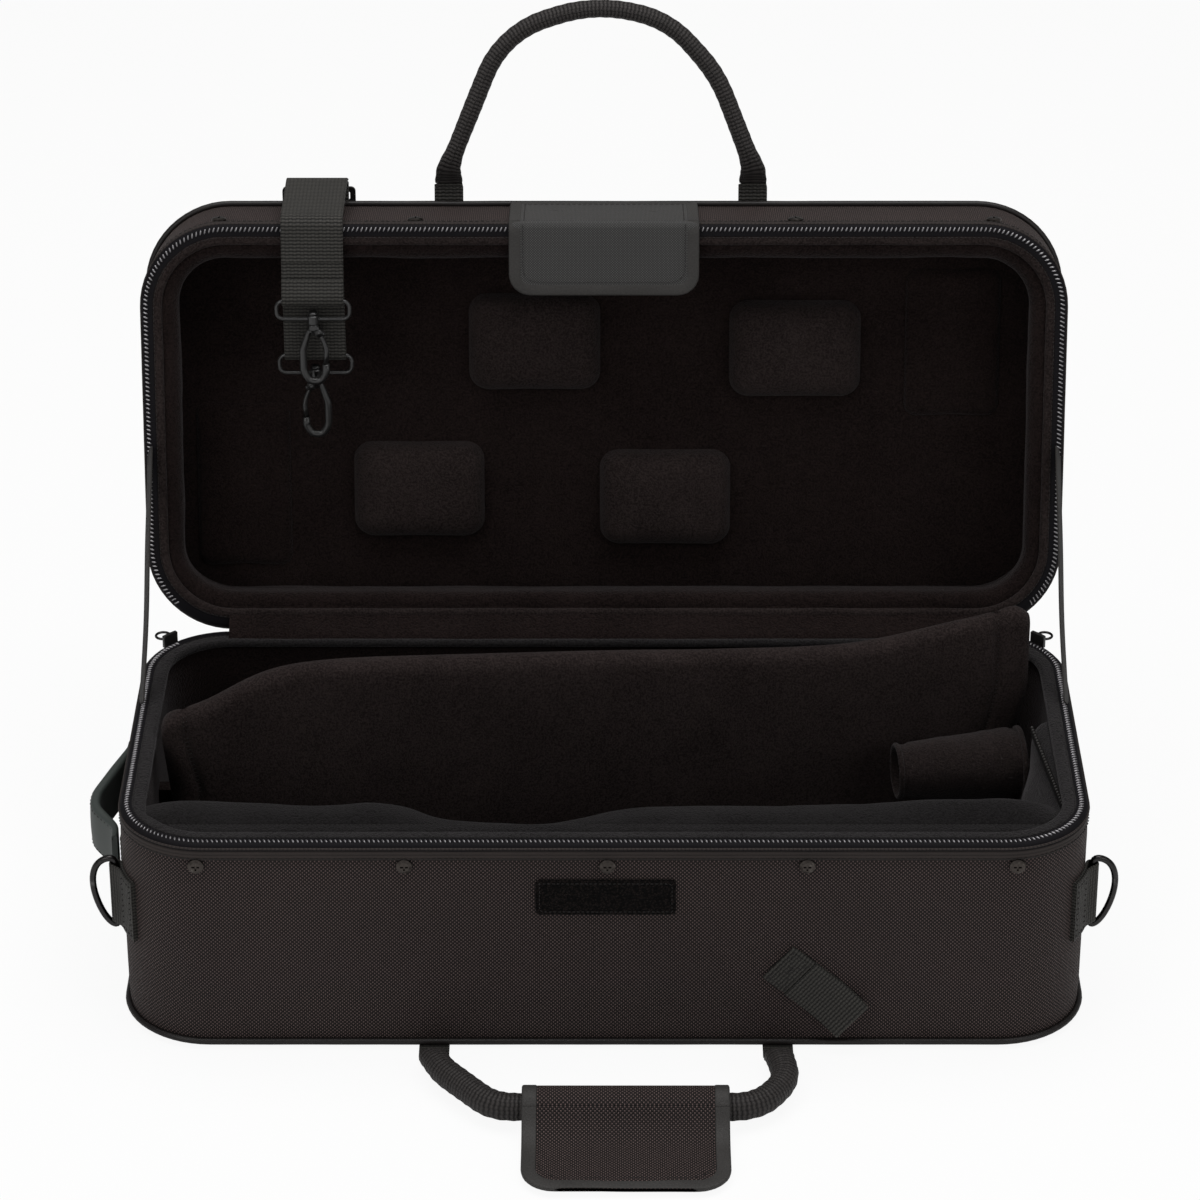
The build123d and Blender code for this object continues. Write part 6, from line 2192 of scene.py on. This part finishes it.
        def tongue_place(points: Array) -> Array:
            """Lays the tongue across the open rim."""
            spot = np.empty_like(points)
            bend, quarter = 2.0, math.pi / 2
            angle = np.clip(points[..., 1] / bend, 0.0, quarter)
            reach = bend + points[..., 2] - 1.05
            spot[..., 0] = points[..., 0]
            spot[..., 1] = -129.0 - reach * np.cos(angle) + np.maximum(points[..., 1] - bend * quarter, 0.0)
            spot[..., 2] = 0.1 - reach * np.sin(angle)
            return Half.LID.seat(spot)

        sewn = Leaf("flap_root", 116.0, 58.2, 2.2, sewn_place, "lid", corner_far=3.0)
        sewn.plate(COATED, "coated_nylon", "lid_flap_sewn", crown=0.15)
        sewn.binding(BINDING, "coated_nylon", 7.6, 0.4, True)
        sewn.stitches("coated_nylon", [np.array([(-49, 2), (-49, 50), (49, 50), (49, 2)])])
        tongue = Leaf("flap_tongue", 116.0, 46.0, 2.1, tongue_place, "flap", corner_near=1.0, corner_far=12.5,
                      wave=0.35, seed=6.0)
        tongue.plate(COATED, "coated_nylon", "lid_flap_tongue", crown=0.4, rows=10)
        tongue.binding(BINDING, "coated_nylon", 7.6, 0.4, True)
        tongue.stitches("coated_nylon", [tongue.three_sides(8.2)], FINE_STITCH, 0.5)

    def ribbons(self) -> None:
        """Stay ribbons from the base's rim to the lid's rim at both ends."""
        start = np.array([0.0, 34.0, 141.3])
        end = Half.LID.seat(np.array([0.0, SIZES.half_y - 117.0, -0.3]))
        run = end - start
        run /= np.linalg.norm(run)
        across = np.cross(run, np.array([1.0, 0, 0]))
        t = np.linspace(0, 1, 60)
        for k, sign in enumerate((1.0, -1.0)):
            path = start + (end - start) * t[:, None]
            path[:, 0] = sign * 282.0
            path[:, 0] -= sign * 0.9 * np.sin(math.pi * t) * (1 + 0.5 * np.sin(7 * t))
            lean = across * math.cos(0.33) + np.array([0.33 * sign, 0.0, 0.0])
            nodes = ("stay_ribbons",) if k == 0 else ()
            side = "right" if sign > 0 else "left"
            piece = flat_strip(f"stay_ribbon_{side}", path, lean, 10.6, 0.9, RIBBON, None, "ribbon", *nodes,
                               edge=0.3)
            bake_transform(piece)

    def hinge(self) -> None:
        """Cloth over the fold at the back, and the lining's strip inside."""
        control = [(129.62, 120.4), (129.62, 133.0), (129.7, 139.3), (136.0, 139.25), (149.0, 136.55)]
        line = smooth_line([(y, z, 0.0) for y, z in control], 30)
        path = np.column_stack([np.zeros(30), line[:, :2]])
        outer = self.fold_sheet("hinge_cloth", path, 446.0, 1.0, NYLON, 0.25)
        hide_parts("hinge_band_base", "hinge_band_lid")
        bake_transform(outer)
        low = np.array([115.6, 135.6])
        rim = Half.LID.seat(np.array([0.0, 115.4, 4.6]))[1:]
        middle = np.array([124.6, 144.6])
        line = smooth_line([(low[0], low[1], 0), (117.4, 140.6, 0), (middle[0], middle[1], 0),
                            (rim[0] - 1.4, rim[1] - 2.6, 0), (rim[0], rim[1], 0)], 26)
        path = np.column_stack([np.zeros(26), line[:, :2]])
        inner = self.fold_sheet("hinge_lining", path, 470.0, 2.0, PLUSH, 0.9)
        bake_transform(inner)

    @staticmethod
    def fold_sheet(name: str, path: Array, width: float, thick: float, finish: Finish,
                   wave: float) -> bpy.types.Object:
        """A wide soft strip along X whose section follows a path in Y and Z."""
        columns = np.linspace(-width / 2, width / 2, 90)
        steps = np.gradient(path, axis=0)
        steps /= np.linalg.norm(steps, axis=1)[:, None]
        normal = np.column_stack([np.zeros(len(path)), -steps[:, 2], steps[:, 1]])
        front = path + normal * thick / 2
        back = path - normal * thick / 2
        section = np.vstack([front, back[::-1]])
        points = np.repeat(section[None], len(columns), axis=0)
        points[..., 0] = columns[:, None]
        n = len(path)
        ease = np.sin(np.linspace(0, math.pi, n))
        shift = wobble(points, wave, 34.0, 7.0)
        weights = np.concatenate([ease, ease[::-1]])
        normals = np.vstack([normal, normal[::-1]])
        points = points + normals[None] * (shift * weights[None])[..., None]
        made = Mesher()
        m = len(section)
        first = made.grid(points, columns - columns[0], arc_lengths(np.vstack([section, section[:1]])),
                          close_j=True)
        for row in (0, len(columns) - 1):
            for k in range(n - 1):
                loop = [k, k + 1, m - 2 - k, m - 1 - k]
                made.faces.append([first + row * m + j for j in loop])
                made.uvs += [tuple(section[j, 1:]) for j in loop]
        piece = made.piece(name, finish)
        LOG.info("%s crosses the hinge", name)
        return piece


@dataclass
class ShoulderStrap:
    """Strap laid over the lid's front wall, with its ends, hooks and adjuster."""

    x: float = -179.0
    width: float = 38.0
    thick: float = 1.45
    lay: float = 0.85

    def dress(self) -> None:
        """Builds the webbing and finishes the metal."""
        corners = [(self.x, -107.0, -2.1), (self.x, -133.5, -2.1), (self.x, -146.0, 58.0), (self.x, -143.0, 70.0)]
        middle = filleted(corners, [6, 20], 2.4)
        steps = np.gradient(middle, axis=0)
        steps /= np.linalg.norm(steps, axis=1)[:, None]
        up = np.cross(np.tile([1.0, 0, 0], (len(middle), 1)), steps)
        for k, sign in enumerate((1.0, -1.0)):
            nodes = ("strap_over_rim",) if k == 0 else ()
            flat_strip(f"strap_lay_{k}", middle + up * (sign * self.lay), (1.0, 0, 0), self.width, self.thick,
                       WEBBING, "lid", "webbing", *nodes, seat=Half.LID.seat, wave=0.12, seed=3.0)
        self.tail()
        self.ends()
        for node, finish in (("strap_adjuster", BLACK_METAL), ("strap_end_loops", BLACK_METAL),
                             ("zip_slider_left", BLACK_METAL), ("zip_slider_right", BLACK_METAL),
                             ("pull_ring_left", RING_METAL), ("pull_ring_right", RING_METAL)):
            repaint(node, finish)
        for side, body in ((-1.0, "dring_left"), (1.0, "dring_right")):
            self.ring(side, body)
        for end, bar_y, pin_z in (("front", 169.07, 327.88), ("rear", 178.47, 286.88)):
            for node, body in ((f"snap_hook_{end}", f"snap_{end}"), (f"snap_gate_{end}", f"gate_{end}")):
                self.fitting(node, body, (self.x, bar_y, pin_z))

    @staticmethod
    def ring(side: float, body: str) -> None:
        """Bent wire D-ring on its webbing, standing straight out."""
        depth, half, wire = 14.0, 23.4, 2.0
        middle = np.array([233.0 + 56.3 * math.cos(math.radians(8.0)), -77.0 - 56.3 * math.sin(math.radians(8.0)), 81.0])
        turn = np.radians(np.linspace(-90, 90, 45))
        bow = np.column_stack([depth * np.abs(np.cos(turn)) ** 0.86 * (1 + 0.26 * np.sin(turn)), half * np.sin(turn)])
        bar = np.column_stack([np.zeros(20), np.linspace(half, -half, 22)[1:-1]])
        flat = np.vstack([bow, bar])
        for _ in range(6):
            flat = flat * 0.5 + (np.roll(flat, 1, axis=0) + np.roll(flat, -1, axis=0)) * 0.25
        along = np.roll(flat, -1, axis=0) - np.roll(flat, 1, axis=0)
        along /= np.linalg.norm(along, axis=1)[:, None]
        away = np.column_stack([along[:, 1], -along[:, 0]])
        around = np.radians(np.arange(0, 360, 30.0))
        c, s = wire * np.cos(around), wire * np.sin(around)
        lean = math.radians(6.0)
        radial = flat[:, None, 0] + away[:, None, 0] * c
        sideways = np.broadcast_to(s, radial.shape)
        points = np.stack([side * (middle[0] + radial * math.cos(lean) - sideways * math.sin(lean)),
                           middle[1] + radial * math.sin(lean) + sideways * math.cos(lean),
                           middle[2] + flat[:, None, 1] + away[:, None, 1] * c], axis=2)
        made = Mesher()
        made.grid(points, arc_lengths(np.vstack([flat, flat[:1]])), np.arange(len(around) + 1) * 1.1, True, True)
        settle(made.piece(f"{body}_wire", RING_METAL, sharp=60.0), body, "black_metal", body)

    @staticmethod
    def fitting(node: str, body: str, pin: Sequence[float]) -> None:
        """Full-size snap hook or gate: the source's shape grown below the gate's pin.

        Args:
            node: the node that it stands for.
            body: the body that carries it.
            pin: middle of the hook at the height of the gate's pin, in mm.
        """
        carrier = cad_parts[node]
        mesh = carrier.data.copy()
        mesh.name = f"{node}_metal"
        mesh.transform(carrier.matrix_world)
        flat = np.empty(len(mesh.vertices) * 3, np.float64)
        mesh.vertices.foreach_get("co", flat)
        points = flat.reshape(-1, 3) / MM
        root = np.array(pin)
        below = np.clip((root[2] - 1.5 - points[:, 2]) / 9.0, 0.0, 1.0)[:, None]
        grown = root + (points - root) * np.array([1.24, 1.08, 1.22])
        points = points * (1 - below) + grown * below
        mesh.vertices.foreach_set("co", (points * MM).astype(np.float32).ravel())
        mesh.materials.clear()
        mesh.materials.append(BLACK_METAL.material())
        made = bpy.data.objects.new(mesh.name, mesh)
        bpy.context.scene.collection.objects.link(made)
        tidy_mesh(mesh, 40.0)
        settle(made, body, "black_metal", node)

    def tail(self) -> None:
        """Doubled tail that lies along the lid's back."""
        top, length = np.array([self.x, 255.8, 390.9]), 232.0
        down = np.array([0.0, -0.2079, -0.9781])
        away = np.array([0.0, 0.9781, -0.2079])
        turn = np.linspace(0.3, math.pi - 0.3, 7)
        runs = np.concatenate([np.linspace(0.0, length - 1.2, 60), length - 1.2 + self.lay * np.sin(turn),
                               np.linspace(length - 1.2, 0.0, 60)])
        sides = np.concatenate([np.full(60, -self.lay), -self.lay * np.cos(turn), np.full(60, self.lay)])
        path = top + runs[:, None] * down + sides[:, None] * away
        piece = flat_strip("strap_tail_fold", path, (1.0, 0, 0), self.width, self.thick - 0.05, WEBBING, None,
                           "webbing", "strap_tail")
        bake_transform(piece)

    def ends(self) -> None:
        """The two hanging ends folded round their loops."""
        root_y, root_z = 176.0, 372.3
        for k, (bar_y, bar_z, side) in enumerate(((169.07, 348.78, -1.0), (178.47, 307.78, 1.0))):
            start = root_y + side * self.lay
            hold = 1.3 + 0.35 + self.thick / 2
            if side < 0:
                down = filleted([(self.x, start + 1.1, root_z + 5.0), (self.x, start, root_z - 3.0),
                                 (self.x, bar_y + hold, bar_z + 5), (self.x, bar_y + hold, bar_z)], [14, 6], 2.0)
                turn = np.radians(np.linspace(-20, -180, 9))
                back = [(self.x, bar_y - hold, bar_z + d) for d in (1.0, 3.0)]
                back += [(self.x, bar_y - hold + 0.8, bar_z + 5.4), (self.x, bar_y + hold - 1.5, bar_z + 9.5),
                         (self.x, bar_y + hold - 0.7, bar_z + 13.5)]
            else:
                down = filleted([(self.x, start + 1.1, root_z + 5.0), (self.x, start, root_z - 3.0),
                                 (self.x, start, bar_z + 30), (self.x, bar_y - hold, bar_z)], [14, 60], 2.4)
                turn = np.radians(np.linspace(200, 360, 9))
                back = [(self.x, bar_y + hold, bar_z + d) for d in (1.0, 3.5)]
                back += [(self.x, bar_y + hold - 0.6, bar_z + 6.5), (self.x, bar_y - hold + 2.0, bar_z + 11.5),
                         (self.x, bar_y - hold + 1.55, bar_z + 16.0)]
            around = [(self.x, bar_y + hold * math.cos(a), bar_z + hold * math.sin(a)) for a in turn]
            path = np.vstack([down, np.array(around), np.array(back)])
            for _ in range(2):
                path[1:-1] = path[1:-1] * 0.6 + (path[:-2] + path[2:]) * 0.2
            nodes = ("strap_ends",) if k == 0 else ()
            piece = flat_strip(f"strap_end_{k}", path, (1.0, 0, 0), self.width, self.thick, WEBBING, None,
                               "webbing", *nodes)
            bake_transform(piece)


# ---------------------------------------------------------------- studio
@dataclass
class Studio:
    """Camera of the photograph, soft white light and a pale floor."""

    place: tuple = (0.0, -2.383, 1.521)
    pitch: float = 0.496
    lens: float = 136.83
    shift: float = -0.00333

    def build(self) -> None:
        """Makes the camera, the world, the lights and the floor."""
        scene = bpy.context.scene
        data = bpy.data.cameras.new("photo_camera")
        data.lens = self.lens
        data.sensor_width = 36.0
        data.shift_x = self.shift
        data.clip_end = 50.0
        camera = bpy.data.objects.new("photo_camera", data)
        camera.location = self.place
        camera.rotation_euler = (math.pi / 2 - self.pitch, 0.0, 0.0)
        scene.collection.objects.link(camera)
        scene.camera = camera
        scene.view_settings.view_transform = "Standard"
        self.world()
        self.floor()
        lamps = (("overhead_soft", (0.0, 0.1, 2.3), (0.0, 0.05, 0.25), 2.4, 1.6, 40.0),
                 ("front_left_soft", (-1.9, -1.9, 1.7), (0.0, 0.0, 0.2), 1.5, 1.5, 15.0),
                 ("front_right_soft", (2.0, -1.7, 1.5), (0.0, 0.0, 0.2), 1.5, 1.5, 12.0),
                 ("low_front_soft", (0.0, -2.7, 0.5), (0.0, 0.0, 0.15), 2.6, 0.8, 5.0))
        for name, at, aim, width, height, power in lamps:
            light = bpy.data.lights.new(name, "AREA")
            light.shape = "RECTANGLE"
            light.size, light.size_y = width, height
            light.energy = power
            lamp = bpy.data.objects.new(name, light)
            lamp.location = at
            lamp.rotation_euler = (Vector(aim) - Vector(at)).to_track_quat("-Z", "Y").to_euler()
            scene.collection.objects.link(lamp)

    @staticmethod
    def world() -> None:
        """Pure white to the camera, softer white to the object."""
        world = bpy.data.worlds.new("studio_white")
        world.use_nodes = True
        bpy.context.scene.world = world
        nodes, links = world.node_tree.nodes, world.node_tree.links
        nodes.clear()
        out = nodes.new("ShaderNodeOutputWorld")
        seen = nodes.new("ShaderNodeBackground")
        seen.inputs["Color"].default_value = (1.0, 1.0, 1.0, 1.0)
        lit = nodes.new("ShaderNodeBackground")
        lit.inputs["Color"].default_value = (1.0, 1.0, 1.0, 1.0)
        lit.inputs["Strength"].default_value = 0.20
        path = nodes.new("ShaderNodeLightPath")
        mix = nodes.new("ShaderNodeMixShader")
        links.new(path.outputs["Is Camera Ray"], mix.inputs["Fac"])
        links.new(lit.outputs[0], mix.inputs[1])
        links.new(seen.outputs[0], mix.inputs[2])
        links.new(mix.outputs[0], out.inputs["Surface"])

    @staticmethod
    def floor() -> None:
        """Pale floor that stays white to the camera but for a faint shadow."""
        mesh = bpy.data.meshes.new("floor")
        mesh.from_pydata([(-6, -6, -0.0005), (6, -6, -0.0005), (6, 8, -0.0005), (-6, 8, -0.0005)], [], [(0, 1, 2, 3)])
        ground = bpy.data.objects.new("floor", mesh)
        bpy.context.scene.collection.objects.link(ground)
        board = Board("floor_white")
        plain = board.node("ShaderNodeBsdfDiffuse", {}, {"Color": (0.86, 0.86, 0.86, 1.0)}, "BSDF")
        glow = board.node("ShaderNodeEmission", {}, {"Color": (1.0, 1.0, 1.0, 1.0), "Strength": 1.0}, "Emission")
        path = board.node("ShaderNodeLightPath", {}, {}, "Is Camera Ray")
        mix = board.node("ShaderNodeMixShader", {}, {0: path * 0.92, 1: plain, 2: glow}, 0)
        board.tree.links.new(mix.out, board.output.inputs["Surface"])
        mesh.materials.append(board.material)


def main() -> None:
    """Dresses the case and sets up the studio."""
    logging.basicConfig(level=logging.INFO, format="%(name)s: %(message)s")
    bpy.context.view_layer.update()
    HalfShell(Half.BASE, SIZES.base_height, (-237.0, -116.0, 2.0, 118.0, 240.0)).dress()
    HalfShell(Half.LID, SIZES.lid_height, (-237.0, -116.0, 118.0, 240.0)).dress()
    BasePadding().dress()
    LidPadding().dress()
    CarryGear().dress()
    ShoulderStrap().dress()
    Studio().build()


if __name__ == "__main__":
    main()
